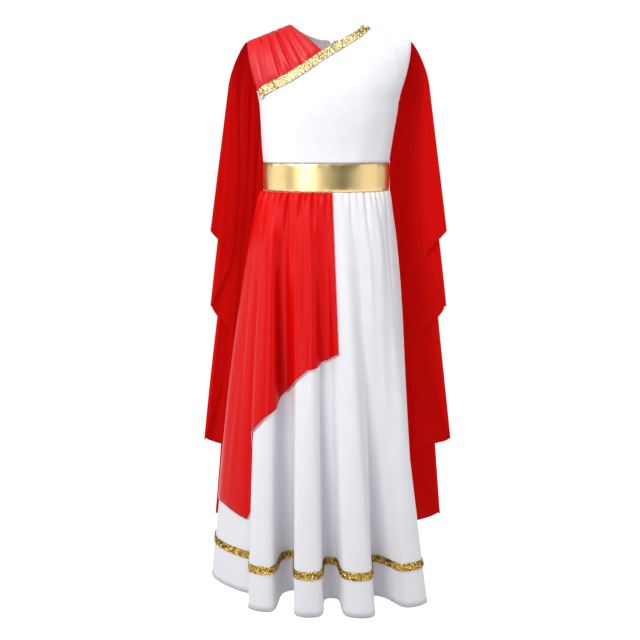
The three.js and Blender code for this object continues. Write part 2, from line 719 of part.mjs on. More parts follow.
// Capes: chiffon gathered into the armhole from the shoulder tip down the back, then falling in a cascade.
// Each row is one edge of the cascade, from the free front edge to the free back edge: where it runs at the
// top and at the foot, for the wearer's left, and how far down the cloth reaches there.
const cascade = [
  { topX: 172, topY: 8, footX: 293, footY: 34, drop: 352 },
  { topX: 147, topY: 24, footX: 226, footY: 84, drop: 402 },
  { topX: 159, topY: 26, footX: 273, footY: 76, drop: 495 },
  { topX: 134, topY: 42, footX: 211, footY: 116, drop: 560 },
  { topX: 148, topY: 44, footX: 256, footY: 104, drop: 767 },
  { topX: 124, topY: 58, footX: 180, footY: 138, drop: 800 },
  { topX: 131, topY: 62, footX: 221, footY: 130, drop: 938 },
  { topX: 110, topY: 72, footX: 126, footY: 158, drop: 985 },
];
const cascadeTop = 90;
const cascadeFoot = 900;
const cascadeFold = 4;
const capeColumnsPerStep = 3;
const capeArmholeShare = 0.6;
const capeClear = 1.9;
const capLength = 75;
const pleatLength = 260;
const capeLevels = [0, 0.03, 0.08, 0.15, 0.25, 0.4, 0.58, 0.78, 1];

// The edges as lines of cloth, each inner edge a turn of two lines, so that the turns are round.
const cascadeLines = cascade.flatMap((edge, i) => {
  if (i === 0 || i === cascade.length - 1) return [edge];
  return [-cascadeFold, cascadeFold].map((turn) => {
    return { ...edge, topY: edge.topY + turn / 2, footY: edge.footY + turn };
  });
});
const lastLine = cascadeLines.length - 1;
const capeColumns = lastLine * capeColumnsPerStep;
const capeDrops = cascadeLines.map(({ drop }, at) => ({ at, drop }));

// The cascade seen from above at one height, as a curve from its front edge to its back edge.
function cascadeOutline(z) {
  const share = (-z - cascadeTop) / (cascadeFoot - cascadeTop);
  const points = cascadeLines.map(
    (line) => new THREE.Vector3(lerp(line.topX, line.footX, share), lerp(line.topY, line.footY, share), z),
  );
  return new THREE.CatmullRomCurve3(points, false, "centripetal");
}

// Where each column is sewn: places down the back armhole from the shoulder tip.
const capeSeam = alongPath(armhole, Math.round(capeColumns / capeArmholeShare)).slice(0, capeColumns + 1);

// One column of a cape at a level, 0 at the armhole and 1 at the hem. It bulges out over the shoulder like a
// cap, and then its folds settle into the cascade.
function capePoint(column, level) {
  const share = column / capeColumns;
  const { x, z: seamZ } = capeSeam[column];
  const seam = torso(1, angleAt(x, seamZ), seamZ);
  const start = seam.add(new THREE.Vector3(capeClear, capeClear * share, 0));
  const z = lerp(seamZ, -between(capeDrops, "at", share * lastLine, "drop"), level);
  const outline = cascadeOutline(z);
  const settled = outline.getPoint(share);
  const trend = outline.getPoint(0).lerp(outline.getPoint(1), share);
  const cap = (1 - (1 - Math.min((seamZ - z) / capLength, 1)) ** 2) ** 0.75;
  const pleat = cap * smooth((seamZ - z) / pleatLength) ** 0.7;
  return start.lerp(trend, cap).addScaledVector(settled.sub(trend), pleat).setZ(z);
}

function cape(hand) {
  const rows = capeLevels.map((level) =>
    Array.from({ length: capeColumns + 1 }, (_, c) => {
      const { x, y, z } = capePoint(c, level);
      return new THREE.Vector3(hand * x, y, z);
    }),
  );
  const normals = normalsOf(rows, { facing: hand });
  return wall(movedOut(rows, normals, chiffonWall / 2), movedOut(rows, normals, -chiffonWall / 2));
}
addPiece("cape_left", cape(1), cloth.capeRed);
addPiece("cape_right", cape(-1), cloth.capeRed);

export default costume;
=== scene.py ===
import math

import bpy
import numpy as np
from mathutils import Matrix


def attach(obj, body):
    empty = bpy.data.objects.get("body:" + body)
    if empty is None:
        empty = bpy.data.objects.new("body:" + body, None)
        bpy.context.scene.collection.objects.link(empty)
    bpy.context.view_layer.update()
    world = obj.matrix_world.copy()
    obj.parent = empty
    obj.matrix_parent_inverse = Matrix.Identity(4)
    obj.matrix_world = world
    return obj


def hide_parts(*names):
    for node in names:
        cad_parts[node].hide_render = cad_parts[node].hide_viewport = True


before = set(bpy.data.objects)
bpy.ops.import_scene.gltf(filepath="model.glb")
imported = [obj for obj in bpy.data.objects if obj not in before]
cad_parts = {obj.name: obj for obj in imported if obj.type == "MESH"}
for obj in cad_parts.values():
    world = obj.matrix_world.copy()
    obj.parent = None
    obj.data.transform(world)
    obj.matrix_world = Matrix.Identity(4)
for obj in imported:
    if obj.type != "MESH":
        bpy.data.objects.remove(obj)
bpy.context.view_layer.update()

# A child's roman toga costume, worn with no wearer inside. The front faces -Y, +X is the wearer's left and
# the origin lies between the two neck points. Sizes are in millimetres until a mesh is made, and a drop is
# a distance below the neck points.


def added(name, data):
    """A new object in the scene that shows this mesh, light or camera."""
    thing = bpy.data.objects.new(name, data)
    bpy.context.collection.objects.link(thing)
    return thing


def mesh_of(name, corners, faces):
    mesh = bpy.data.meshes.new(name)
    mesh.from_pydata(corners, [], faces)
    return mesh


camera = added("camera", bpy.data.cameras.new("camera"))
camera.data.lens = 54
camera.data.sensor_width = 36
camera.location = (-0.0154, -1.7, -0.1655)
camera.rotation_euler = (math.radians(78.5), 0, 0)
bpy.context.scene.camera = camera
bpy.context.scene.view_settings.view_transform = "Standard"


class Finish:
    """A socket in a material, on which shader maths is written as ordinary sums."""

    def __init__(self, tree, socket=None):
        self.tree = tree
        self.socket = socket

    def node(self, kind, settings=None, inputs=None, output=0):
        made = self.tree.nodes.new(kind)
        for key, value in (settings or {}).items():
            setattr(made, key, value)
        for key, value in (inputs or {}).items():
            if isinstance(value, Finish):
                self.tree.links.new(value.socket, made.inputs[key])
            else:
                made.inputs[key].default_value = value
        return Finish(self.tree, made.outputs[output])

    def maths(self, operation, *values):
        return self.node("ShaderNodeMath", {"operation": operation}, dict(enumerate(values)))

    def __add__(self, other):
        return self.maths("ADD", self, other)

    def __mul__(self, other):
        return self.maths("MULTIPLY", self, other)

    __radd__ = __add__
    __rmul__ = __mul__

    def noise(self, scale, **inputs):
        named = {key.capitalize(): value for key, value in inputs.items()}
        return self.node("ShaderNodeTexNoise", {}, {"Scale": scale, **named})

    def mixed(self, factor, first, second):
        return self.node("ShaderNodeMix", {"data_type": "RGBA"}, {0: factor, 6: first, 7: second}, 2)

    def bumped(self, height, depth):
        return self.node("ShaderNodeBump", {}, {"Height": height, "Strength": 1, "Distance": depth})


def material(name, fixed, varied):
    """A Principled material: fixed are numbers and colours on its sockets, varied makes what changes."""
    made = bpy.data.materials.new(name)
    made.use_nodes = True
    shader = made.node_tree.nodes["Principled BSDF"]
    for key, value in fixed.items():
        shader.inputs[key].default_value = value
    for key, value in varied(Finish(made.node_tree)).items():
        made.node_tree.links.new(value.socket, shader.inputs[key])
    return made


def grey_paint(dark, light, patch_scale):
    """Plain paper, paint or felt, a little uneven in patches."""
    def paint(start):
        patches = start.noise(patch_scale)
        return {"Base Color": start.mixed(patches, (dark, dark, dark, 1), (light, light, light, 1))}
    return paint


def studio_piece(name, corners, faces, fixed, paint, hidden_from):
    """A thing that stands in the studio, and the ways of seeing it that are turned off."""
    thing = added(name, mesh_of(name, corners, faces))
    thing.data.materials.append(material(name, fixed, paint))
    for sight in hidden_from:
        setattr(thing, f"visible_{sight}", False)


FLOOR_DROP = 1.34
FLOOR_REACH = 30
studio_piece(
    "studio_floor",
    [(x * FLOOR_REACH, y * FLOOR_REACH, -FLOOR_DROP) for x, y in ((-1, -1), (1, -1), (1, 1), (-1, 1))],
    [(0, 1, 2, 3)],
    {"Roughness": 0.9, "Emission Color": (1, 1, 1, 1), "Emission Strength": 0.68},
    grey_paint(0.80, 0.84, 3.0),
    ["diffuse"],
)

room = bpy.data.worlds.new("room")
room.use_nodes = True
room.node_tree.nodes["Background"].inputs["Color"].default_value = (0.97, 0.97, 1.0, 1)
room.node_tree.nodes["Background"].inputs["Strength"].default_value = 0.40
bpy.context.scene.world = room


def ring_faces(rings, sides):
    """The faces between rings of points, each ring joined to the next."""
    faces = []
    for start in range(0, (rings - 1) * sides, sides):
        for here in range(sides):
            after = (here + 1) % sides
            faces.append([start + here, start + after, start + sides + after, start + sides + here])
    return faces


# The backdrop is a white dome that only the camera sees, so that the room's softer light falls through it.
DOME_SIDES = 48
DOME_RINGS = 12
dome_corners = []
for rise in np.linspace(0, math.pi / 2 - 0.02, DOME_RINGS):
    reach, height = FLOOR_REACH * math.cos(rise), FLOOR_REACH * math.sin(rise) - FLOOR_DROP
    for turn in np.linspace(0, 2 * math.pi, DOME_SIDES, endpoint=False):
        dome_corners.append((reach * math.cos(turn), reach * math.sin(turn), height))
studio_piece(
    "studio_backdrop",
    dome_corners,
    ring_faces(DOME_RINGS, DOME_SIDES),
    {"Emission Color": (1, 1, 1, 1), "Emission Strength": 0.75},
    grey_paint(0.9, 0.92, 2.0),
    ["diffuse", "glossy", "transmission", "volume_scatter", "shadow"],
)


def softbox(name, place, aim, size, watts, mirrored=True):
    light = bpy.data.lights.new(name, "AREA")
    light.shape = "RECTANGLE"
    light.size, light.size_y = size
    light.energy = watts
    box = added(name, light)
    box.location = place
    forward = np.array(aim) - np.array(place)
    box.rotation_euler = (
        math.acos(-forward[2] / np.linalg.norm(forward)),
        0,
        math.atan2(forward[1], forward[0]) - math.pi / 2,
    )
    box.visible_glossy = mirrored


def card(name, start, end, low, high, glow):
    """An upright card out of the camera's sight, dark or glowing, for the foil and the knit to mirror."""
    corners = [(*start, low), (*end, low), (*end, high), (*start, high)]
    fixed = {"Roughness": 0.9, "Emission Color": (1, 0.98, 0.95, 1), "Emission Strength": glow}
    felt = grey_paint(0.05, 0.07, 40.0)
    studio_piece(name, corners, [(0, 1, 2, 3)], fixed, felt, ["camera", "diffuse", "shadow"])


card("card_front", (-0.2, -3.0), (1.6, -3.0), -1.3, 0.9, 0)
card("card_side", (-2.9, -2.6), (-2.1, -2.6), -1.3, 0.9, 0)
card("card_low", (-1.05, -1.9), (-0.42, -1.95), -1.25, 0.5, 4.0)
card("card_left", (-1.9, 0.3), (-1.9, -1.3), -1.0, 0.2, 1.15)
card("card_right", (1.75, -1.9), (1.75, -0.1), -0.9, 1.1, 1.1)
softbox("softbox_right", (-0.9, -1.45, 0.8), (0, 0, -0.2), (0.8, 0.9), 29)
softbox("softbox_left", (2.0, -1.1, 0.2), (0, 0, -0.4), (0.9, 1.8), 17, mirrored=False)
softbox("softbox_side", (-2.2, -0.4, 0.1), (0, 0, -0.5), (0.8, 1.8), 13)
softbox("softbox_top", (-0.2, -0.5, 1.5), (0, -0.05, -0.2), (1.4, 0.9), 7)
softbox("softbox_back", (1.5, 1.7, 0.6), (0, 0, -0.5), (0.8, 1.4), 20)

# Bodice: sleeveless white polyester knit in a front and two backs, sewn at the shoulders and sides, and worn
# smooth over the chest. The edges of neck and armholes are turned in and stitched.
KNIT_MIDDLE = 0.8
KNIT = 0.9
ROUNDNESS = 2.3
SHOULDER_DROP = 27
UNDERARM = 125
WAIST = 229
NECK_HALF = 66
SHOULDER_HALF = 138
QUARTER = math.pi / 2
UNDERARM_HALF = 119.5
CROWN_HALF = 152
WAIST_HALF = 108.4
WAIST_DEPTH = 80
WAIST_SHIFT = -4.5


def smooth(share):
    share = np.clip(share, 0, 1)
    return share * share * (3 - 2 * share)


def blend(first, second, share):
    return first + (second - first) * share


def unit(vectors):
    return vectors / np.maximum(np.linalg.norm(vectors, axis=-1, keepdims=True), 1e-9)


def squared_off(value, power):
    return np.sign(value) * np.abs(value) ** power


def torso_half_width(z):
    over_arm = np.clip((UNDERARM + z) / (UNDERARM - SHOULDER_DROP), 0, 1)
    below_arm = np.clip((-z - UNDERARM) / (WAIST - UNDERARM), 0, 1)
    return blend(blend(UNDERARM_HALF, WAIST_HALF, below_arm), CROWN_HALF, over_arm**0.82)


def torso_shift(z):
    return WAIST_SHIFT * smooth((-z - UNDERARM) / (WAIST - UNDERARM))


def torso(side, angle, z):
    """The worn figure, by the angle round it as seen from the front. side is -1 in front, 1 behind."""
    across = squared_off(np.sin(angle), 2 / ROUNDNESS)
    forward = np.abs(np.cos(angle)) ** (2 / ROUNDNESS)
    x = across * torso_half_width(z)
    slope = np.clip((np.abs(x) - NECK_HALF) / (SHOULDER_HALF - NECK_HALF), 0, 1)
    slope_share = 1 - smooth((-z - 60) / (WAIST - 60))
    below = np.maximum(-z - SHOULDER_DROP * slope * slope_share, 0)
    crown, chest = (80, 112) if side < 0 else (58, 104)
    rise = np.sqrt(below / (below + crown))
    waist_depth = WAIST_DEPTH / math.sqrt(WAIST / (WAIST + crown))
    depth = blend(chest, waist_depth, smooth((-z - 90) / (WAIST - 90)))
    y = side * np.maximum(depth * rise * forward, 0.15)
    return np.stack([x + torso_shift(z), y, z], axis=-1)


def angle_at(x, z):
    share = np.clip((x - torso_shift(z)) / torso_half_width(z), -1, 1)
    return np.sign(share) * np.arcsin(np.abs(share) ** (ROUNDNESS / 2))


def on_torso(side, x, z, out):
    """Points on the figure at front-view places, moved out, and the outward direction there."""
    angle = angle_at(x, z)
    before, after = np.maximum(angle - 0.02, -QUARTER), np.minimum(angle + 0.02, QUARTER)
    right = torso(side, after, z) - torso(side, before, z)
    down = torso(side, angle, z - 1) - torso(side, angle, z + 1)
    normal = unit(np.cross(down, right)) * -side
    return torso(side, angle, z) + normal * np.asarray(out)[..., None], normal


def catmull(p0, p1, p2, p3, share):
    """A centripetal Catmull-Rom curve between p1 and p2."""
    before, here, after = (
        np.maximum(np.linalg.norm(span, axis=-1, keepdims=True) ** 0.5, 1e-4)
        for span in (p1 - p0, p2 - p1, p3 - p2)
    )
    leave = ((p1 - p0) / before - (p2 - p0) / (before + here) + (p2 - p1) / here) * here
    arrive = ((p2 - p1) / here - (p3 - p1) / (here + after) + (p3 - p2) / after) * here
    bend = -3 * p1 + 3 * p2 - 2 * leave - arrive
    turn = 2 * p1 - 2 * p2 + leave + arrive
    return p1 + leave * share + bend * share**2 + turn * share**3


def curve(points, share, closed=False):
    """Places at shares from 0 to 1 of a smooth curve through points, in their last two axes."""
    count = points.shape[-2]
    spans = count if closed else count - 1
    if not closed:
        ends = [2 * points[..., :1, :] - points[..., 1:2, :], 2 * points[..., -1:, :] - points[..., -2:-1, :]]
        points = np.concatenate([ends[0], points, ends[1]], axis=-2)
    at = np.clip(share, 0, 1) * spans
    first = np.minimum(at.astype(int), spans - 1)
    rest = (at - first)[..., None]
    corners = [(first + k - 1) % count if closed else first + k for k in range(4)]
    if points.ndim == 2:
        return catmull(*[points[corner] for corner in corners], rest)
    return catmull(*[np.take_along_axis(points, corner[..., None], axis=-2) for corner in corners], rest)


def lengths_along(points):
    return np.concatenate([[0], np.cumsum(np.linalg.norm(np.diff(points, axis=0), axis=1))])


def taken_at(at, lengths, points):
    return np.stack([np.interp(at, lengths, column) for column in points.T], axis=-1)


def along(path, count):
    """count + 1 places { x, z } spread evenly along a smooth front-view path of [x, drop]."""
    fine = curve(np.array(path, float), np.linspace(0, 1, 400))
    lengths = lengths_along(fine)
    return taken_at(np.linspace(0, lengths[-1], count + 1), lengths, fine) * (1, -1)


def joined(*paths):
    return np.concatenate([path if i == 0 else path[1:] for i, path in enumerate(paths)])


def filled(top, bottom, left, right):
    """The places inside four edges, each a list of { x, z }."""
    u = np.linspace(0, 1, len(top))[None, :, None]
    v = np.linspace(0, 1, len(left))[:, None, None]
    corners = blend(blend(top[0], top[-1], u), blend(bottom[0], bottom[-1], u), v)
    return blend(top[None], bottom[None], v) + blend(left[:, None], right[:, None], u) - corners


def creases(table, across, down):
    """Soft ridges and troughs, given one by one: [across, down, half length, half width, height, lean per
    100], and, where the far side is steeper or gentler, how much wider it is."""
    height = np.zeros(np.broadcast(across, down).shape)
    for place, drop, long, wide, high, lean, *far in table:
        fall = down - drop
        offset = across - place - lean * fall / 100
        half = np.where(offset > 0, wide * (far[0] if far else 1), wide)
        height = height + high * np.exp(-((offset / half) ** 2) - (fall / long) ** 2)
    return height


def placed(name, points, faces, finish, rounded=False):
    """A piece of the dress from points in millimetres."""
    piece = added(name, mesh_of(name, (points.reshape(-1, 3) / 1000).tolist(), faces))
    piece.data.materials.append(finish)
    piece.data.polygons.foreach_set("use_smooth", [rounded] * len(piece.data.polygons))
    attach(piece, "dress")
    return piece


def cloth(name, rows, cut, thickness, finish):
    """A thin sheet on a grid of points, rows down and columns to the right, with its flat cut as UVs."""
    row_count, column_count = rows.shape[:2]
    index = np.arange(row_count * column_count).reshape(row_count, column_count)
    faces = np.stack([index[:-1, :-1], index[1:, :-1], index[1:, 1:], index[:-1, 1:]], axis=-1).reshape(-1, 4)
    piece = placed(name, rows, faces.tolist(), finish, rounded=True)
    width, length = cut
    u, v = np.meshgrid(np.linspace(0, width, column_count), np.linspace(length, 0, row_count))
    places = np.stack([u, v], axis=-1).reshape(-1, 2)
    piece.data.uv_layers.new(name="flat").data.foreach_set("uv", places[faces.reshape(-1)].ravel())
    wall = piece.modifiers.new("thickness", "SOLIDIFY")
    wall.thickness = thickness / 1000
    wall.offset = 0
    return piece


WAVE_WIDTH = 0.314  # metres from one band of a wave texture to the next, at a scale of 1


def knit_ribs(start, pitch, strength):
    """The height of a fine knit: wales across the width, and a finer course along them, with a soft nap."""
    places = start.node("ShaderNodeUVMap", {"uv_map": "flat"})
    wide = {"Vector": places, "Scale": WAVE_WIDTH / pitch}
    fine = {"Vector": places, "Scale": WAVE_WIDTH / (pitch * 0.8)}
    uneven = {"Distortion": 0.6, "Detail": 1.0, "Detail Scale": 2.0}
    wales = start.node("ShaderNodeTexWave", {"bands_direction": "X"}, {**wide, **uneven})
    courses = start.node("ShaderNodeTexWave", {"bands_direction": "Y"}, fine)
    nap = start.noise(260.0, detail=3.0)
    return (wales * 0.6 + courses * 0.3 + nap * 0.6) * strength


def white_cloth(start):
    mottle = start.noise(14.0, detail=3.0, roughness=0.55)
    return {
        "Base Color": start.mixed(mottle, (0.80, 0.79, 0.835, 1), (0.87, 0.865, 0.89, 1)),
        "Roughness": start.noise(90.0) * 0.15 + 0.68,
        "Normal": start.bumped(knit_ribs(start, 0.0011, 0.5), 0.00022),
    }


white_knit = material(
    "white_knit",
    {"Sheen Weight": 0.12, "Sheen Roughness": 0.5, "Sheen Tint": (1, 1, 1, 1), "Specular IOR Level": 0.3},
    white_cloth,
)

ARMHOLE = [
    [138, 27], [137, 38], [135, 54], [131.5, 72], [127.5, 88], [123.5, 101], [120.5, 111], [119, 119],
    [119.5, 125],
]
YOKE_SEAM = [
    [-120.5, 111], [-108, 107.5], [-92, 101], [-72, 92.5], [-54, 82], [-35, 69.5], [-19, 58], [-9, 49],
]
NECKLINE = [[-9, 49], [8, 37], [36, 19], [66, 0]]
SHOULDER = [[66, 0], [138, 27]]


def handed(hand, path):
    return [[hand * x, drop] for x, drop in path]


def side_seam(hand, rows):
    z = -np.linspace(UNDERARM, WAIST, rows + 1)
    return np.stack([hand * torso_half_width(z) + torso_shift(z), z], axis=-1)


def waist_line(from_angle, to_angle, columns):
    z = np.full(columns + 1, -float(WAIST))
    return torso(-1, np.linspace(from_angle, to_angle, columns + 1), z)[:, [0, 2]]


# [x, drop, half length, half width, height, lean]: drag lines from the left shoulder and underarm, a soft
# hollow over the right of the waist, and the fullness that stands above the waistband.
FRONT_CREASES = [
    [92, 34, 26, 5.5, 0.9, 34],
    [106, 47, 24, 4.5, 0.7, 22],
    [74, 30, 22, 6, -0.6, 40],
    [112, 84, 22, 5, 0.8, 12],
    [98, 118, 30, 7, 0.7, 55],
    [84, 128, 26, 6, -0.7, 60],
    [78, 192, 44, 13, -1.6, -14],
    [52, 205, 34, 9, 0.9, -10],
    [98, 196, 36, 7, 1.0, -6],
    [26, 212, 22, 7, -0.6, -6],
    [-98, 150, 30, 7, 0.6, -30],
    [-82, 196, 40, 11, -0.9, 10],
    [-60, 208, 26, 7, 0.6, 8],
    [-16, 120, 46, 22, -0.5, 20],
    [-34, 214, 18, 6, -0.5, 4],
]


def bodice_front_rows():
    top = joined(along(YOKE_SEAM, 72), along(NECKLINE, 24), along(SHOULDER, 18))
    left = joined(along(handed(-1, ARMHOLE[-3:]), 12), side_seam(-1, 42))
    right = joined(along(ARMHOLE, 36), side_seam(1, 18))
    places = filled(top, waist_line(-QUARTER, QUARTER, len(top) - 1), left, right)
    x, z = places[..., 0], places[..., 1]
    return on_torso(-1, x, z, KNIT_MIDDLE + creases(FRONT_CREASES, x, -z))[0]


bodice_front = cloth("bodice_front_cloth", bodice_front_rows(), (0.27, 0.24), KNIT, white_knit)
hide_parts("bodice_front")

# [share of the way from the zip to the neck point, drop]. The zip leans towards the left as it climbs.
BACK_NECK = [[0, 25.5], [0.07, 21], [0.3, 19], [0.62, 12], [1, 0]]
ZIP_LEAN = 5
# Each back's creases, as on the left: [from the zip, drop, half length, half width, height, lean].
BACK_CREASES = [
    [18, 60, 40, 7, -0.7, 8],
    [40, 205, 36, 9, -1.1, -8],
    [66, 198, 40, 8, 1.0, -4],
    [88, 205, 30, 7, -0.9, 2],
    [84, 60, 30, 7, 0.8, 26],
    [70, 112, 30, 8, -0.8, 40],
    [98, 120, 24, 6, 0.7, 24],
    [14, 190, 46, 6, 0.8, 0],
    [30, 130, 40, 10, 0.6, -12],
]


def centre_back_x(z):
    return blend(ZIP_LEAN, 0, smooth((-z - 21) / 150)) + torso_shift(z)


def bodice_back_rows(hand):
    neck = [[blend(centre_back_x(-drop), hand * NECK_HALF, share), drop] for share, drop in BACK_NECK]
    top = joined(along(neck, 28), along(handed(hand, SHOULDER), 20))
    z = -blend(25.5, WAIST, np.linspace(0, 1, 55) ** 1.5)
    centre = np.stack([centre_back_x(z) + hand * 0.12, z], axis=-1)
    foot_angle = angle_at(centre[-1, 0], centre[-1, 1])
    bottom = waist_line(foot_angle, hand * QUARTER, len(top) - 1)
    places = filled(top, bottom, centre, joined(along(handed(hand, ARMHOLE), 36), side_seam(hand, 18)))
    x, z = places[..., 0], places[..., 1]
    from_zip = hand * (x - centre_back_x(z))
    zip_ridge = 0.5 * np.exp(-(((from_zip - 7) / 1.2) ** 2)) - 0.6 * np.exp(-((from_zip / 3) ** 2))
    out = KNIT_MIDDLE + creases(BACK_CREASES, from_zip * (1 + 0.06 * hand), -z) + zip_ridge
    rows = on_torso(1, x, z, out)[0]
    return rows if hand < 0 else rows[:, ::-1]


for name, hand in (("left", 1), ("right", -1)):
    rows = bodice_back_rows(hand)
    back = cloth(f"bodice_back_{name}_cloth", rows, (0.14, 0.24), KNIT, white_knit)
    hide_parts(f"bodice_back_{name}")


def scattered(name, shape, faces, places, forward, out, finish, tilt=0, seed=1):
    """One small shape repeated, given along the path, across it and away from the cloth."""
    rng = np.random.default_rng(seed)
    turn = rng.normal(0, 1, (len(places), 2)) * tilt
    side = unit(np.cross(out, forward))
    out = unit(out + turn[:, :1] * forward + turn[:, 1:] * side)
    side = unit(np.cross(out, forward))
    forward = np.cross(side, out)
    corners = np.array(shape, float)
    frames = np.stack([forward, side, out], axis=1)
    points = places[:, None] + np.einsum("ki,nij->nkj", corners, frames)
    starts = range(0, len(places) * len(corners), len(corners))
    all_faces = [[start + corner for corner in face] for start in starts for face in faces]
    return placed(name, points, all_faces, finish)


def spaced(points, outs, pitch):
    """Places, directions and outward directions every pitch along a line of points."""
    lengths = lengths_along(points)
    at = np.arange(pitch / 2, lengths[-1], pitch)
    going = taken_at(at + pitch / 4, lengths, points) - taken_at(at - pitch / 4, lengths, points)
    return taken_at(at, lengths, points), unit(going), unit(taken_at(at, lengths, outs))


STITCH = [
    [-1.0, 0, 0], [-0.5, -0.22, 0], [0.5, -0.22, 0], [1.0, 0, 0], [0.5, 0.22, 0], [-0.5, 0.22, 0],
    [-0.5, 0, 0.28], [0.5, 0, 0.28],
]
STITCH_FACES = [[0, 1, 6], [1, 2, 7, 6], [2, 3, 7], [3, 4, 7], [4, 5, 6, 7], [5, 0, 6], [0, 5, 4, 3, 2, 1]]
STITCH_PITCH = 3.0


def thread_cloth(colour):
    def twist(start):
        strands = start.noise(900.0)
        darker = tuple(value * 0.82 for value in colour[:3]) + (1,)
        return {"Base Color": start.mixed(strands, darker, colour), "Normal": start.bumped(strands, 0.0001)}
    return twist


white_thread = material("white_thread", {"Roughness": 0.6}, thread_cloth((0.80, 0.79, 0.83, 1)))


def stitched(name, lines, finish):
    """Rows of stitches: lines are pairs of points and outward directions."""
    runs = [spaced(points, outs, STITCH_PITCH) for points, outs in lines]
    places, forward, out = (np.concatenate([run[k] for run in runs]) for k in range(3))
    return scattered(name, STITCH, STITCH_FACES, places, forward, out, finish)


def torso_line(side, path, inset, steps=60):
    """A line on the cloth's face that runs beside a path of [x, drop], inset towards the middle."""
    places = along(path, steps)
    going = unit(np.gradient(places, axis=0))
    inward = np.stack([-going[:, 1], going[:, 0]], axis=-1)
    if np.sum(inward * (np.array([0, -130]) - places)) < 0:
        inward = -inward
    places = places + inward * inset
    return on_torso(side, *places.T, KNIT_MIDDLE + KNIT / 2 + 0.05)


def rolled_edge(name, points, radius, finish, sides=8):
    """A thin round edge along a line of points."""
    going = unit(np.gradient(points, axis=0))
    side = unit(np.cross(going, np.array([0.31, 0.9, 0.3])))
    up = np.cross(going, side)
    turn = np.linspace(0, 2 * math.pi, sides, endpoint=False)[None, :, None]
    rings = points[:, None] + radius * (np.cos(turn) * side[:, None] + np.sin(turn) * up[:, None])
    count = len(points)
    ends = [list(range(sides))[::-1], [(count - 1) * sides + k for k in range(sides)]]
    return placed(name, rings, ring_faces(count, sides) + ends, finish, rounded=True)


EDGE_INSET = 5


def half_neck(hand):
    return [[blend(ZIP_LEAN, hand * NECK_HALF, share), drop] for share, drop in BACK_NECK]


bodice_stitching = stitched(
    "bodice_stitching",
    [
        torso_line(-1, ARMHOLE[:-1], EDGE_INSET),
        torso_line(1, ARMHOLE[:-1], EDGE_INSET),
        torso_line(1, handed(-1, ARMHOLE[:-1]), EDGE_INSET),
        torso_line(1, half_neck(1), EDGE_INSET),
        torso_line(1, half_neck(-1), EDGE_INSET),
    ],
    white_thread,
)
rim_cloth = thread_cloth((0.86, 0.84, 0.87, 1))
white_rim = material("white_rim", {"Roughness": 0.6, "Sheen Weight": 0.4}, rim_cloth)
for name, side, path in (
    ("front_left", -1, ARMHOLE),
    ("front_right", -1, handed(-1, ARMHOLE[-3:])),
    ("back_left", 1, ARMHOLE),
    ("back_right", 1, handed(-1, ARMHOLE)),
):
    rim_line = on_torso(side, *along(path, 90).T, KNIT_MIDDLE)[0]
    rolled_edge(f"armhole_rim_{name}", rim_line, 0.7, white_rim, 6)

# Yoke: soft red knit over the right shoulder, gathered into the shoulder seam and under the trim, so that
# its folds fan out from the shoulder. Its armhole edge is turned in and stitched twice.
RED_MIDDLE = 0.8


def red_cloth(dark, light, roughness):
    def knit(start):
        nap = start.noise(22.0, detail=4.0, roughness=0.6)
        return {
            "Base Color": start.mixed(nap, dark, light),
            "Roughness": start.noise(120.0) * 0.10 + roughness,
            "Normal": start.bumped(knit_ribs(start, 0.0010, 0.5), 0.00006),
        }
    return knit


red_knit = material(
    "red_knit",
    {"Specular IOR Level": 0.12, "Specular Tint": (1, 0.8, 0.9, 1)},
    red_cloth((0.64, 0.0016, 0.0008, 1), (0.70, 0.0025, 0.002, 1), 0.28),
)
# yoke_knit is the red knit again with a darker base colour and more gloss. The darker colour is painted shade
# that takes back the extra light the shoulder catches from above.
yoke_knit = material(
    "yoke_knit",
    {"Specular IOR Level": 0.44, "Specular Tint": (1, 0.8, 0.92, 1)},
    red_cloth((0.56, 0.0022, 0.002, 1), (0.63, 0.004, 0.005, 1), 0.37),
)
YOKE_COLUMNS = 120
YOKE_ROWS = 60
YOKE_FULLNESS = 2.8
# [across, down, half length, half width, height, lean, far side]: the folds of the yoke, in hundredths of its
# width and height, armhole edge first.
YOKE_FOLDS = [
    [42.5, 50, 85, 1.9, -4.4, -12.6, 2.6],
    [59.5, 50, 85, 1.9, -4.6, -11, 2.8],
    [75.5, 45, 70, 2.0, -3.2, -10.7, 2.6],
    [14.5, 55, 60, 1.6, -3.0, -9, 2.2],
    [31, 8, 20, 1.8, -3.6, -8],
    [49, 92, 20, 1.5, -3.0, -9],
    [67, 6, 15, 1.7, -2.8, -10],
    [90, 40, 40, 5.0, -2.4, -10],
    [25, 62, 40, 6.0, 1.3, -10],
    [50, 40, 60, 4.5, 1.6, -12],
    [67, 55, 55, 4.5, 1.5, -11],
    [82, 70, 40, 4.0, 1.1, -10],
    [5, 60, 50, 2.5, 1.0, -4],
]


def yoke_rows():
    seam = along(YOKE_SEAM, YOKE_COLUMNS)
    shoulder = along([[-138, 27], [-66, 0]], YOKE_COLUMNS)
    arm_edge = along(handed(-1, ARMHOLE[:7]), YOKE_ROWS)
    neck_edge = along([[-66, 0], [-9, 49]], YOKE_ROWS)
    places = filled(shoulder, seam, arm_edge, neck_edge)
    u, v = np.meshgrid(np.linspace(0, 100, YOKE_COLUMNS + 1), np.linspace(0, 100, YOKE_ROWS + 1))
    pressed = smooth((100 - v) / 18) * smooth((v + 3) / 14) * smooth(u / 5) * smooth((100 - u) / 5)
    out = RED_MIDDLE + (YOKE_FULLNESS + creases(YOKE_FOLDS, u, v)) * pressed
    return on_torso(-1, places[..., 0], places[..., 1], out)[0]


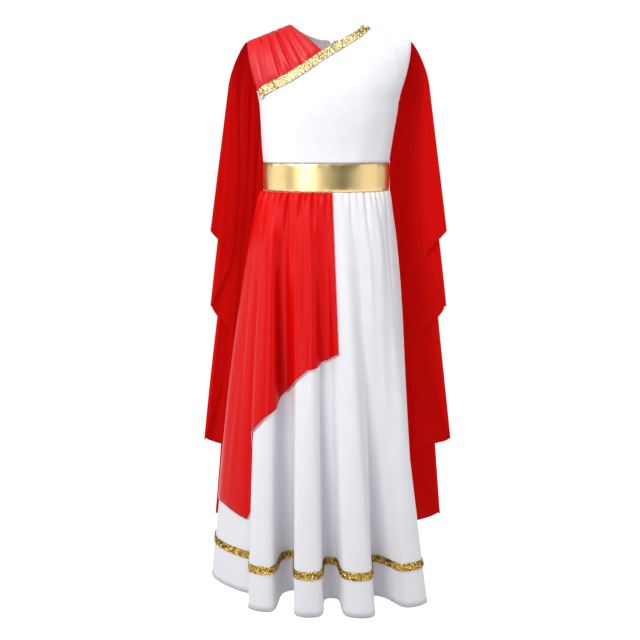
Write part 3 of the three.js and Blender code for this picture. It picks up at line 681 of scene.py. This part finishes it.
yoke = cloth("shoulder_yoke_cloth", yoke_rows(), (0.17, 0.13), KNIT, yoke_knit)
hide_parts("shoulder_yoke")
red_thread = material("red_thread", {"Roughness": 0.6}, thread_cloth((0.80, 0.05, 0.06, 1)))
yoke_stitching = stitched(
    "yoke_stitching",
    [torso_line(-1, handed(-1, ARMHOLE[:7]), 3.5), torso_line(-1, [[-66, 0], [-12, 47]], 3.0)],
    red_thread,
)

# Neck trim: a 14 mm gold ribbon closely sewn with cupped sequins, along the left half of the neckline and
# then over the yoke's lower seam to the right underarm.
TRIM_WIDTH = 14
RIBBON = 0.6
RIBBON_OUT = 2.9
SEQUIN_ROWS = 6
TRIM_PATH = [
    [62, 7], [50, 18.5], [32, 30], [13, 41], [-3, 50], [-19, 60], [-35, 71], [-54, 83], [-72, 93], [-92, 102],
    [-106, 108.5], [-115, 115],
]


# Gold whose colour breaks into light and dark facets about a sequin wide. These are painted glints and
# painted shade, scattered at random over the sequins and ribbon.
def gold_sparkle(light, dark):
    def sparkle(start):
        places = start.node("ShaderNodeTexCoord", output=3)
        facets = start.node("ShaderNodeTexVoronoi", {}, {"Vector": places, "Scale": 560.0}, 1)
        shade = start.node("ShaderNodeMapRange", {}, {"Value": facets, "From Min": 0.3, "From Max": 0.62})
        scratches = start.noise(1500.0)
        return {
            "Base Color": start.mixed(shade, dark, light),
            "Roughness": scratches * 0.18 + 0.2,
            "Normal": start.bumped(scratches, 0.00008),
        }
    return sparkle


neck_sparkle = gold_sparkle((0.94, 0.83, 0.50, 1), (0.48, 0.34, 0.09, 1))
neck_gold = material("neck_sequin_gold", {"Metallic": 0.9}, neck_sparkle)
hem_sparkle = gold_sparkle((0.68, 0.47, 0.12, 1), (0.15, 0.08, 0.01, 1))
hem_gold = material("hem_sequin_gold", {"Metallic": 0.9}, hem_sparkle)

SEQUIN_SIDES = 6
SEQUIN_RADIUS = 1.5
SEQUIN = [[0, 0, -0.1]] + [
    [SEQUIN_RADIUS * math.cos(turn), SEQUIN_RADIUS * math.sin(turn), 0.35]
    for turn in np.linspace(0, 2 * math.pi, SEQUIN_SIDES, endpoint=False)
]
SEQUIN_FACES = [[0, 1 + k, 1 + (k + 1) % SEQUIN_SIDES] for k in range(SEQUIN_SIDES)]
SEQUIN_PITCH = 2.3


def sequins(name, top_line, bottom_line, outs, finish, seed):
    """Rows of sequins between the two edges of a ribbon, each row half a sequin on from the last."""
    runs = []
    for row in range(SEQUIN_ROWS):
        share = (row + 0.5) / SEQUIN_ROWS
        places, forward, out = spaced(blend(top_line, bottom_line, share), outs, SEQUIN_PITCH)
        runs.append((places + forward * (SEQUIN_PITCH / 2) * (row % 2), forward, out))
    places, forward, out = (np.concatenate([run[k] for run in runs]) for k in range(3))
    places = places + out * (0.45 + 0.12 * (np.arange(len(places)) % 3))[:, None]
    return scattered(name, SEQUIN, SEQUIN_FACES, places, forward, out, finish, 0.42, seed)


def neck_ribbon_lines():
    middle = along(TRIM_PATH, 120)
    centre, outs = on_torso(-1, *middle.T, 0)
    going = unit(np.gradient(centre, axis=0))
    across = unit(np.cross(going, outs)) * TRIM_WIDTH / 2
    lines = []
    for edge in np.linspace(-1, 1, 7):
        x, z = middle[:, 0] + across[:, 0] * edge, middle[:, 1] + across[:, 2] * edge
        lines.append(on_torso(-1, x, z, RIBBON_OUT)[0])
    return np.stack(lines), outs


ribbon_rows, ribbon_outs = neck_ribbon_lines()
neck_ribbon = cloth("neck_ribbon", ribbon_rows[:, ::-1], (0.225, 0.014), RIBBON, neck_gold)
neck_sequins = sequins("neck_sequins", ribbon_rows[0], ribbon_rows[-1], ribbon_outs, neck_gold, 3)
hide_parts("neck_trim")

# Waistband: firm gold foil knit, 48 mm high, in a front and two backs. It is sewn along both edges, which
# pull it in a little and leave small puckers, and it mirrors the light softly.
BAND_HEIGHT = 48
FOIL = 0.9


def gold_foil_cloth(start):
    places = start.node("ShaderNodeUVMap", {"uv_map": "flat"})
    wear = start.noise(26.0, vector=places, detail=4.0, roughness=0.6)
    crumple = start.noise(16.0, vector=places, detail=1.0)
    ribs = knit_ribs(start, 0.0012, 0.12)
    return {
        "Base Color": start.mixed(wear, (0.74, 0.54, 0.23, 1), (0.85, 0.67, 0.345, 1)),
        "Roughness": wear * 0.1 + 0.25,
        "Normal": start.bumped(ribs * 0.12 + crumple, 0.0016),
    }


gold_foil = material("gold_foil", {"Metallic": 1.0}, gold_foil_cloth)


def waist_point(angle, out, z):
    """A place on the waist's outline, by the angle from the front towards the wearer's left."""
    across = squared_off(np.sin(angle), 2 / ROUNDNESS)
    forward = squared_off(np.cos(angle), 2 / ROUNDNESS)
    x, y = (WAIST_HALF + out) * across + WAIST_SHIFT, -(WAIST_DEPTH + out) * forward
    return np.stack([x, y, z + 0 * angle], axis=-1)


def waistband_rows(from_degrees, to_degrees, columns, rows=28):
    degrees = np.linspace(from_degrees, to_degrees, columns + 1)
    angle, down = np.meshgrid(np.radians(degrees), np.linspace(0, 1, rows + 1))
    round_waist = np.degrees(angle)
    edge = np.minimum(down, 1 - down) * BAND_HEIGHT
    puckers = 0.5 * np.sin(0.55 * round_waist + 1.3 * np.sin(0.13 * round_waist)) * np.exp(-((edge / 7) ** 2))
    waves = 0.8 * np.sin(0.085 * round_waist + 0.6) * np.sin(math.pi * down)
    bulge = 1.5 * (1 - np.exp(-edge / 2.5))
    return waist_point(angle, bulge + 0.4 * puckers + 0.35 * waves, -(WAIST + down * BAND_HEIGHT))


for name, start_degrees, end_degrees, columns, cut_width in (
    ("front", -89.9, 89.9, 160, 0.30),
    ("back_left", 90.1, 179.9, 80, 0.15),
    ("back_right", 180.1, 269.9, 80, 0.15),
):
    rows = waistband_rows(start_degrees, end_degrees, columns)
    band = cloth(f"waistband_{name}_cloth", rows, (cut_width, 0.048), FOIL, gold_foil)
    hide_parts(f"waistband_{name}")

# Skirt: white knit in a front and two backs, gathered small into the waistband. It hangs in eleven deep folds
# to a turned hem with one row of stitches.
SKIRT_TOP = 277.3
DRESS_LENGTH = 997
SKIRT_LENGTH = DRESS_LENGTH - SKIRT_TOP
COLUMNS_PER_FOLD = 16
SKIRT_COLUMNS = 176
LEFT_SEAM = 88
CENTRE_BACK = 132
HEM_FOLDS = [
    [[-214, 16], [-214, -30], [-150, -92], [-120, -94]],
    [[-140, -148], [-101, -162], [-82, -93], [-60, -84]],
    [[-55, -176], [-16, -178], [-6, -116], [16, -116]],
    [[32, -178], [75, -180], [80, -104], [100, -110]],
    [[137, -147], [174, -127], [148, -84], [150, -58]],
    [[165, -24], [163, 24], [130, 46], [112, 70]],
    [[143, 108], [114, 139], [66, 86], [48, 97]],
    [[73, 162], [34, 176], [18, 108], [0, 108]],
    [[-8, 180], [-50, 176], [-35, 106], [-53, 98]],
    [[-94, 163], [-128, 137], [-85, 84], [-98, 68]],
    [[-164, 104], [-184, 66], [-152, 46], [-158, 30]],
]
FINE_PER_COLUMN = 8
HEM_HALF = 165
HEM_DEPTH = 140
HEM_SHIFT = -20
HEM_FORWARD = -5


def hem_table():
    """The hem's place at every eighth of a column. A fold's columns are spaced evenly along its cloth."""
    corners = np.array(HEM_FOLDS, float).reshape(-1, 2)
    places = []
    for fold in range(len(HEM_FOLDS)):
        at = (4 * (fold + np.linspace(0, 1, 193)) - 0.5) / len(corners)
        trace = curve(corners, (at + 1) % 1, closed=True)
        lengths = lengths_along(trace)
        even = np.linspace(0, lengths[-1], COLUMNS_PER_FOLD * FINE_PER_COLUMN + 1)[:-1]
        places.append(taken_at(even, lengths, trace))
    places = np.concatenate(places)
    return np.concatenate([places, places[:1]])


def waist_table():
    """The angle round the waist at every eighth of a column."""
    angles = np.linspace(-QUARTER, 3 * QUARTER, 1441)
    lengths = lengths_along(waist_point(angles, 0, 0))
    columns = np.arange(SKIRT_COLUMNS * FINE_PER_COLUMN + 1) / FINE_PER_COLUMN
    shares = np.interp(columns, [0, 51, LEFT_SEAM, CENTRE_BACK, SKIRT_COLUMNS], [0, 0.266, 0.5, 0.75, 1])
    return np.interp(shares * lengths[-1], lengths, angles)


HEM_TABLE = hem_table()
WAIST_TABLE = waist_table()
TABLE_COLUMNS = np.arange(len(WAIST_TABLE)) / FINE_PER_COLUMN


def skirt_base(column, level):
    """A bell that widens quickly over the hips, with the folds growing out of it as it falls."""
    turns = np.floor(column / SKIRT_COLUMNS)
    within = column - turns * SKIRT_COLUMNS
    hem_x = np.interp(within, TABLE_COLUMNS, HEM_TABLE[:, 0])
    hem_y = np.interp(within, TABLE_COLUMNS, HEM_TABLE[:, 1])
    waist_angle = np.interp(within, TABLE_COLUMNS, WAIST_TABLE)
    hem_angle = np.arctan2((hem_x - HEM_SHIFT) / HEM_HALF, -(hem_y - HEM_FORWARD) / HEM_DEPTH)
    turned = hem_angle - waist_angle
    swing = turned - 2 * math.pi * np.round(turned / (2 * math.pi))
    level = np.maximum(level, 0)
    spread = level**0.6
    angle = waist_angle + swing * level**0.8
    roundness = 2 / blend(ROUNDNESS, 2, spread)
    across = squared_off(np.sin(angle), roundness)
    forward = squared_off(np.cos(angle), roundness)
    fold_x = hem_x - (HEM_SHIFT + HEM_HALF * np.sin(hem_angle))
    fold_y = hem_y - (HEM_FORWARD - HEM_DEPTH * np.cos(hem_angle))
    depth = level**1.15
    x = blend(WAIST_SHIFT, HEM_SHIFT, spread) + blend(WAIST_HALF, HEM_HALF, spread) * across + fold_x * depth
    y = HEM_FORWARD * spread - blend(WAIST_DEPTH, HEM_DEPTH, spread) * forward + fold_y * depth
    return np.stack([x, y, -(SKIRT_TOP + level * SKIRT_LENGTH)], axis=-1)


# [column, drop, half length, half width in columns, height, lean, far side]: soft ridges and troughs between
# and on the main folds, all round, no two alike. The first rows lie under the overlay.
SKIRT_CREASES = [
    [21.5, 540, 240, 3.4, 5.6, 0.3, 0.7], [19.2, 350, 80, 1.8, 3.2, -2.0],
    [27.5, 470, 200, 3.4, -4.0, 0.3, 1.6], [31, 345, 80, 1.4, 2.6, -0.3],
    [37.4, 480, 140, 1.8, -4.4, -0.1, 0.5], [39.6, 485, 150, 0.9, 3.2, -0.1, 3.8],
    [51, 450, 200, 4.5, -4.2, 0.0, 0.6], [9.5, 520, 170, 1.5, -2.6, -0.4], [5, 640, 210, 1.7, 3.0, 0.3],
    [1.5, 500, 160, 1.5, -2.8, 0.2], [13.5, 400, 120, 1.5, 2.4, -0.8], [45, 690, 190, 2.4, 2.6, 0.3],
    [55.5, 560, 200, 2.4, 2.6, -0.3], [63, 520, 240, 4.6, 6.2, -1.1, 0.36], [69, 560, 200, 2.5, -5.4, -1.6],
    [69.5, 370, 80, 1.4, 1.8, -0.8], [76, 560, 240, 3.2, 3.8, -0.3, 0.7], [82.5, 640, 200, 2.2, -3.4, 0.1],
    [75.4, 380, 110, 1.2, -2.6, -0.8], [86.5, 470, 150, 1.5, 2.8, 0.2], [33, 700, 180, 2.0, -2.6, 0.1],
    [91.5, 600, 230, 2.6, -4.0, 0.2, 0.6], [96, 440, 130, 1.8, 3.2, 0.4],
    [101, 640, 230, 3.0, 4.2, -0.2, 0.5], [106, 480, 150, 1.6, -3.4, 0.3],
    [111, 590, 240, 3.4, 4.4, 0.1, 0.45], [116.5, 430, 110, 1.5, -3.0, -0.5], [120, 640, 200, 2.2, -3.6, 0.2],
    [125, 500, 190, 2.6, 3.8, -0.3, 0.6], [130, 620, 180, 1.8, -2.8, 0.1], [135.5, 460, 170, 2.0, 3.4, 0.4],
    [140, 600, 240, 2.8, -4.4, -0.2, 0.5], [146, 520, 210, 3.2, 4.2, 0.2, 1.6],
    [151.5, 640, 190, 1.9, -3.2, 0.3], [156, 450, 140, 1.6, 3.0, -0.4],
    [160.5, 600, 230, 2.8, -4.2, 0.1, 0.6], [165.5, 480, 150, 1.7, 3.2, 0.2],
    [171, 620, 220, 2.4, 3.6, -0.2, 0.5],
]
# [column, length, depth]: the small pleats where the cloth is gathered into the waistband, as they lie in
# front. Those behind follow in the same manner, each with its own spacing, length and depth.
GATHERS = [
    [2, 22, 1.6], [6, 40, 2.0], [10, 18, 1.4], [14.5, 34, 1.9], [20, 20, 1.6], [24.6, 26, 2.0],
    [28.4, 58, 2.6], [30.5, 22, 1.5], [35.2, 46, 2.3], [38, 20, 1.7], [41, 54, 2.3], [44.5, 16, 1.5],
    [47.5, 30, 2.0], [52, 34, 2.0], [56, 18, 1.6], [58.8, 66, 2.4], [62, 24, 1.7], [65.4, 84, 2.8],
    [68.7, 20, 1.6], [71.2, 40, 2.0], [73.7, 18, 1.5], [77, 60, 2.3], [81, 26, 1.8], [84.8, 40, 2.0],
]
GATHER_HALF = 0.8
GATHER_DEPTH = 2.2
gather_chance = np.random.default_rng(11)
while GATHERS[-1][0] < SKIRT_COLUMNS - 4:
    gap, length, depth = gather_chance.uniform((2.8, 14, 1.4), (4.8, 62, 2.6))
    GATHERS.append([GATHERS[-1][0] + gap, length, depth])


def gather(column, level):
    fall = level * SKIRT_LENGTH
    height = 1.2 * np.exp(-((fall / 30) ** 2))
    for place, length, depth in GATHERS:
        away = (column - place + SKIRT_COLUMNS / 2) % SKIRT_COLUMNS - SKIRT_COLUMNS / 2
        spread = GATHER_HALF * (1 + fall / length * 0.5)
        height = height - GATHER_DEPTH * depth * np.exp(-((away / spread) ** 2) - (fall / length) ** 2)
    return height


def on_skirt(column, level, out):
    """Points on the skirt's cloth moved out, and the outward direction there. Columns run round from the
    right side seam, levels from the waistband down to the hem."""
    column, level = np.broadcast_arrays(np.asarray(column, float), np.asarray(level, float))
    right = skirt_base(column + 0.25, level) - skirt_base(column - 0.25, level)
    down = skirt_base(column, level + 0.006) - skirt_base(column, level - 0.006)
    normal = unit(np.cross(down, right))
    normal[..., 2] *= smooth(level / 0.03)
    normal = unit(normal)
    drop = SKIRT_TOP + level * SKIRT_LENGTH
    loose = smooth(level / 0.12) * (1 - 0.55 * smooth((level - 0.8) / 0.2))
    wrapped = sum(creases(SKIRT_CREASES, column + turn, drop) for turn in (-SKIRT_COLUMNS, 0, SKIRT_COLUMNS))
    raised = out + gather(column, level) + wrapped * loose
    return skirt_base(column, level) + normal * raised[..., None], normal


SKIRT_ROWS = 84
skirt_levels = (np.linspace(0, 1, SKIRT_ROWS + 1) ** 1.35)[:, None]
HEM_STITCH_UP = 12
hem_stitch_level = 1 - HEM_STITCH_UP / SKIRT_LENGTH


def hem_turn(level):
    """The doubled cloth of the turned hem stands a little proud, with a groove where it is stitched."""
    up = (1 - level) * SKIRT_LENGTH
    return 0.35 * (1 - smooth((up - 11) / 2)) - 0.4 * np.exp(-(((up - HEM_STITCH_UP) / 1.2) ** 2))


SKIRT_PANELS = (
    ("front", 0, LEFT_SEAM, 1.10),
    ("back_left", LEFT_SEAM, CENTRE_BACK, 0.56),
    ("back_right", CENTRE_BACK, SKIRT_COLUMNS, 0.56),
)
for name, first, last, cut_width in SKIRT_PANELS:
    columns = np.linspace(first + 0.02, last - 0.02, (last - first) * 4 + 1)[None]
    seam_dip = -0.8 * (np.exp(-(((columns - first) / 0.25) ** 2)) + np.exp(-(((columns - last) / 0.25) ** 2)))
    rows = on_skirt(columns, skirt_levels, KNIT_MIDDLE + hem_turn(skirt_levels) + seam_dip)[0]
    cloth(f"skirt_{name}_cloth", rows, (cut_width, 0.74), KNIT, white_knit)
    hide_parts(f"skirt_{name}")

hem_columns = np.linspace(0, SKIRT_COLUMNS, SKIRT_COLUMNS * FINE_PER_COLUMN + 1)
hem_line = on_skirt(hem_columns, hem_stitch_level, KNIT_MIDDLE + KNIT / 2 - 0.05)
hem_stitching = stitched("hem_stitching", [hem_line], white_thread)

# Hem trim: the same sequinned ribbon, in a darker gold, round each panel of the skirt 66 mm above the hem.
HEM_TRIM_TOP = 917
HEM_TRIM_OUT = 1.2
hem_trim_drops = np.linspace(HEM_TRIM_TOP, HEM_TRIM_TOP + TRIM_WIDTH, 5)[:, None]
hem_trim_levels = (hem_trim_drops - SKIRT_TOP) / SKIRT_LENGTH
for seed, (name, first, last, cut_width) in enumerate(SKIRT_PANELS):
    columns = np.linspace(first + 0.03, last - 0.03, (last - first) * 4 + 1)[None]
    rows, outs = on_skirt(columns, hem_trim_levels, KNIT_MIDDLE + HEM_TRIM_OUT)
    ribbon = cloth(f"hem_ribbon_{name}", rows, (cut_width, 0.014), RIBBON, hem_gold)
    scales = sequins(f"hem_sequins_{name}", rows[0], rows[-1], outs[2], hem_gold, 20 + seed)
    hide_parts(f"hem_trim_{name}")

# Overlay: a red knit half skirt over the right of the front, gathered in with it at the waist. Its hem runs
# level round the side, climbs in the first hollow and slants up to the middle, in a pale rolled edge.
OVERLAY_COLUMNS = 51
OVERLAY_OUT = 3.4
OVERLAY_HEM = [
    [0, 840], [4, 842], [7, 845], [12, 858], [14, 802], [16, 745], [18, 688], [22, 646],
    [26, 634], [30, 611], [35, 594], [38, 572], [43, 564], [51, 546],
]
OVERLAY_CREASES = [
    [3.5, 620, 150, 0.7, 1.5, 0.2], [8.5, 700, 130, 0.8, 1.6, -0.3], [10.5, 500, 110, 0.6, 1.3, -0.2],
    [13.6, 600, 190, 0.5, -1.4, 0.35], [22, 560, 90, 1.0, 1.1, 0.1], [47, 470, 80, 0.9, -0.9, -0.2],
]


def overlay_surface(column, share):
    hem_drop = np.interp(column, *np.array(OVERLAY_HEM, float).T)
    level = share * (hem_drop - SKIRT_TOP) / SKIRT_LENGTH
    drop = SKIRT_TOP + level * SKIRT_LENGTH
    loose = smooth(share / 0.1)
    return on_skirt(column, level, OVERLAY_OUT + creases(OVERLAY_CREASES, column, drop) * loose)


overlay_shares = (np.linspace(0, 1, 85) ** 1.25)[:, None]
overlay_columns = np.linspace(0.02, OVERLAY_COLUMNS, OVERLAY_COLUMNS * 4 + 1)[None]
overlay_rows = overlay_surface(overlay_columns, overlay_shares)[0]
overlay = cloth("overlay_cloth", overlay_rows, (0.60, 0.58), KNIT, red_knit)
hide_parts("overlay")
pale_overlock = material("pale_overlock", {"Roughness": 0.65}, thread_cloth((0.85, 0.42, 0.42, 1)))
overlay_edge = rolled_edge("overlay_rolled_hem", overlay_rows[-1], 0.75, pale_overlock)
overlay_front_edge = rolled_edge("overlay_front_edge", overlay_rows[:, -1], 0.6, red_knit)

# Capes: deep red chiffon gathered into the back of each armhole. It bulges out over the shoulder like a cap,
# and falls in a cascade of steps to its longest point behind, with a fine rolled edge all round.
CHIFFON = 0.6
CASCADE = [
    [172, 8, 293, 34, 352], [147, 24, 226, 84, 402], [159, 26, 273, 76, 495], [134, 42, 211, 116, 560],
    [148, 44, 256, 104, 767], [124, 58, 180, 138, 800], [131, 62, 221, 130, 938], [110, 72, 126, 158, 985],
]
CASCADE_TOP = 90
CASCADE_FOOT = 900
TURN = 4


def cascade_lines():
    lines = [CASCADE[0]]
    for top_x, top_y, foot_x, foot_y, drop in CASCADE[1:-1]:
        for turn in (-TURN, TURN):
            lines.append([top_x, top_y + turn / 2, foot_x, foot_y + turn, drop])
    return np.array(lines + [CASCADE[-1]], float)


CAPE_LINES = cascade_lines()
CAPE_SEAM_STEPS = 1000
CAPE_SEAM = along(ARMHOLE, CAPE_SEAM_STEPS)
CAPE_SEAM_SHARE = 0.6
CAP_DROP = 75
PLEAT_DROP = 260


def cape_base(share, level):
    """A place of the wearer's left cape: share runs from its front edge to its back edge."""
    seam_at = share * CAPE_SEAM_SHARE * CAPE_SEAM_STEPS
    seam_x, seam_z = (np.interp(seam_at, np.arange(CAPE_SEAM_STEPS + 1), column) for column in CAPE_SEAM.T)
    start = torso(1, angle_at(seam_x, seam_z), seam_z)
    start = start + np.stack([1.9 + 0 * share, 1.9 * share, 0 * share], axis=-1)
    drop = np.interp(share * (len(CAPE_LINES) - 1), np.arange(len(CAPE_LINES)), CAPE_LINES[:, 4])
    z = blend(seam_z, -drop, level)
    fall = ((-z - CASCADE_TOP) / (CASCADE_FOOT - CASCADE_TOP))[..., None, None]
    outline = blend(CAPE_LINES[:, 0:2], CAPE_LINES[:, 2:4], fall)
    settled = curve(outline, share[..., None])[..., 0, :]
    trend = blend(outline[..., 0, :], outline[..., -1, :], share[..., None])
    fallen = seam_z - z
    cap = (1 - (1 - np.minimum(fallen / CAP_DROP, 1)) ** 2) ** 0.75
    pleat = cap * smooth(fallen / PLEAT_DROP) ** 0.7
    flat = blend(start[..., :2], trend, cap[..., None]) + (settled - trend) * pleat[..., None]
    return np.concatenate([flat, z[..., None]], axis=-1)


# [share of 100, drop, half length, half width, height, lean]: soft folds of the chiffon between its pleats.
CAPE_CREASES = [
    [6, 260, 120, 2.4, 1.4, 0.6], [13, 420, 150, 2.0, -1.4, -0.4], [20, 240, 110, 2.2, 1.6, 0.5],
    [27, 420, 170, 2.4, 2.0, 0.3], [34, 300, 150, 2.0, -3.2, 0.2], [40, 520, 220, 2.4, 4.6, -0.3],
    [46, 330, 170, 2.0, -4.4, 0.4], [52.5, 610, 240, 2.6, 4.6, 0.2], [59, 300, 160, 2.0, 4.0, -0.3],
    [64, 560, 260, 2.2, -5.0, 0.2], [71, 400, 200, 2.2, 4.4, 0.3], [77, 680, 260, 2.6, 5.0, -0.2],
    [83.5, 440, 220, 2.0, -5.0, 0.3], [89.5, 620, 280, 2.4, 4.8, 0.1], [95, 340, 180, 1.8, -3.6, 0.2],
]


def cape_rows(hand, share, level):
    base = cape_base(share, level)
    right = cape_base(np.minimum(share + 0.002, 1), level) - cape_base(np.maximum(share - 0.002, 0), level)
    down = cape_base(share, np.minimum(level + 0.004, 1)) - cape_base(share, np.maximum(level - 0.004, 0))
    normal = unit(np.cross(down, right))
    drop = -base[..., 2]
    round_seam = 2 * math.pi * share
    gathers = 0.8 * np.sin(19 * round_seam + 2 * np.sin(9 * share)) * (0.35 + 0.65 * smooth(share / 0.5))
    gathers = gathers * np.exp(-((level / 0.16) ** 2)) * smooth(level / 0.02)
    streaks = 0.28 * np.sin(31 * round_seam + 1.5 * hand) + 0.2 * np.sin(47 * round_seam + 2.1)
    folds = creases(CAPE_CREASES, 100 * share + 1.5 * hand, drop)
    rows = base + normal * (gathers + (folds + streaks) * smooth(level / 0.15))[..., None]
    rows[..., 0] *= hand
    return rows if hand > 0 else rows[:, ::-1]


def chiffon_cloth(start):
    places = start.node("ShaderNodeUVMap", {"uv_map": "flat"})
    stretch = start.node("ShaderNodeVectorMath", {"operation": "MULTIPLY"}, {0: places, 1: (150.0, 1.2, 1.0)})
    streaks = start.noise(1.0, vector=stretch, detail=3.0, roughness=0.6)
    shade = start.node("ShaderNodeMapRange", {}, {"Value": streaks, "From Min": 0.3, "From Max": 0.7})
    crepe = start.noise(1400.0)
    return {
        "Base Color": start.mixed(shade, (0.40, 0.0008, 0.0003, 1), (0.48, 0.0014, 0.0004, 1)),
        "Roughness": crepe * 0.2 + 0.66,
        "Normal": start.bumped(crepe * 0.6 + streaks * 0.8, 0.0003),
    }


# The chiffon glows faintly in its own red, which is painted light: it evens out the capes' shading in place
# of light coming through the thin cloth. The darker base colour under it is lowered to match, and the capes'
# rolled edges glow the same way.
red_chiffon = material(
    "red_chiffon",
    {"Specular IOR Level": 0.06, "Emission Color": (0.6, 0.001, 0.0005, 1), "Emission Strength": 0.34},
    chiffon_cloth,
)
cape_share, cape_level = np.meshgrid(np.linspace(0, 1, 209), np.linspace(0, 1, 91) ** 1.2)
for name, hand in (("left", 1), ("right", -1)):
    rows = cape_rows(hand, cape_share, cape_level)
    cape = cloth(f"cape_{name}_cloth", rows, (0.62, 0.93), CHIFFON, red_chiffon)
    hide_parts(f"cape_{name}")
    edge = np.concatenate([rows[1:, 0], rows[-1, 1:-1], rows[1:, -1][::-1]])
    cape_edge = rolled_edge(f"cape_{name}_rolled_edge", edge, 0.55, red_chiffon, 6)

# Zip: a white nylon zip down the centre back, whose teeth show between the slider and the waistband. The
# lacquered slider and its pull are the frame's own solids, and the pull swings on the slider's bridge.
TOOTH = [
    [-0.35, -1.1, 0], [0.35, -1.1, 0], [0.35, 1.1, 0], [-0.35, 1.1, 0], [-0.22, -1.0, 0.6], [0.22, -1.0, 0.6],
    [0.22, 1.0, 0.6], [-0.22, 1.0, 0.6],
]
TOOTH_FACES = [[3, 2, 1, 0], [4, 5, 6, 7], [0, 1, 5, 4], [1, 2, 6, 5], [2, 3, 7, 6], [3, 0, 4, 7]]


def lacquer(start):
    specks = start.noise(800.0, detail=3.0)
    return {
        "Base Color": start.mixed(specks, (0.74, 0.74, 0.76, 1), (0.82, 0.82, 0.84, 1)),
        "Roughness": specks * 0.2 + 0.25,
        "Normal": start.bumped(specks, 0.00005),
    }


zip_lacquer = material("zip_lacquer", {"Coat Weight": 0.3, "Coat Roughness": 0.2}, lacquer)
for node in ("zip_slider", "zip_pull"):
    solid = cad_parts[node]
    for material_slot in solid.material_slots:
        material_slot.material = zip_lacquer

zip_z = -np.linspace(40, WAIST - 1, 120)
zip_line, zip_out = on_torso(1, centre_back_x(zip_z), zip_z, 0.35)
places, forward, out = spaced(zip_line, zip_out, 1.3)
scattered("zip_teeth", TOOTH, TOOTH_FACES, places, forward, out, white_thread)
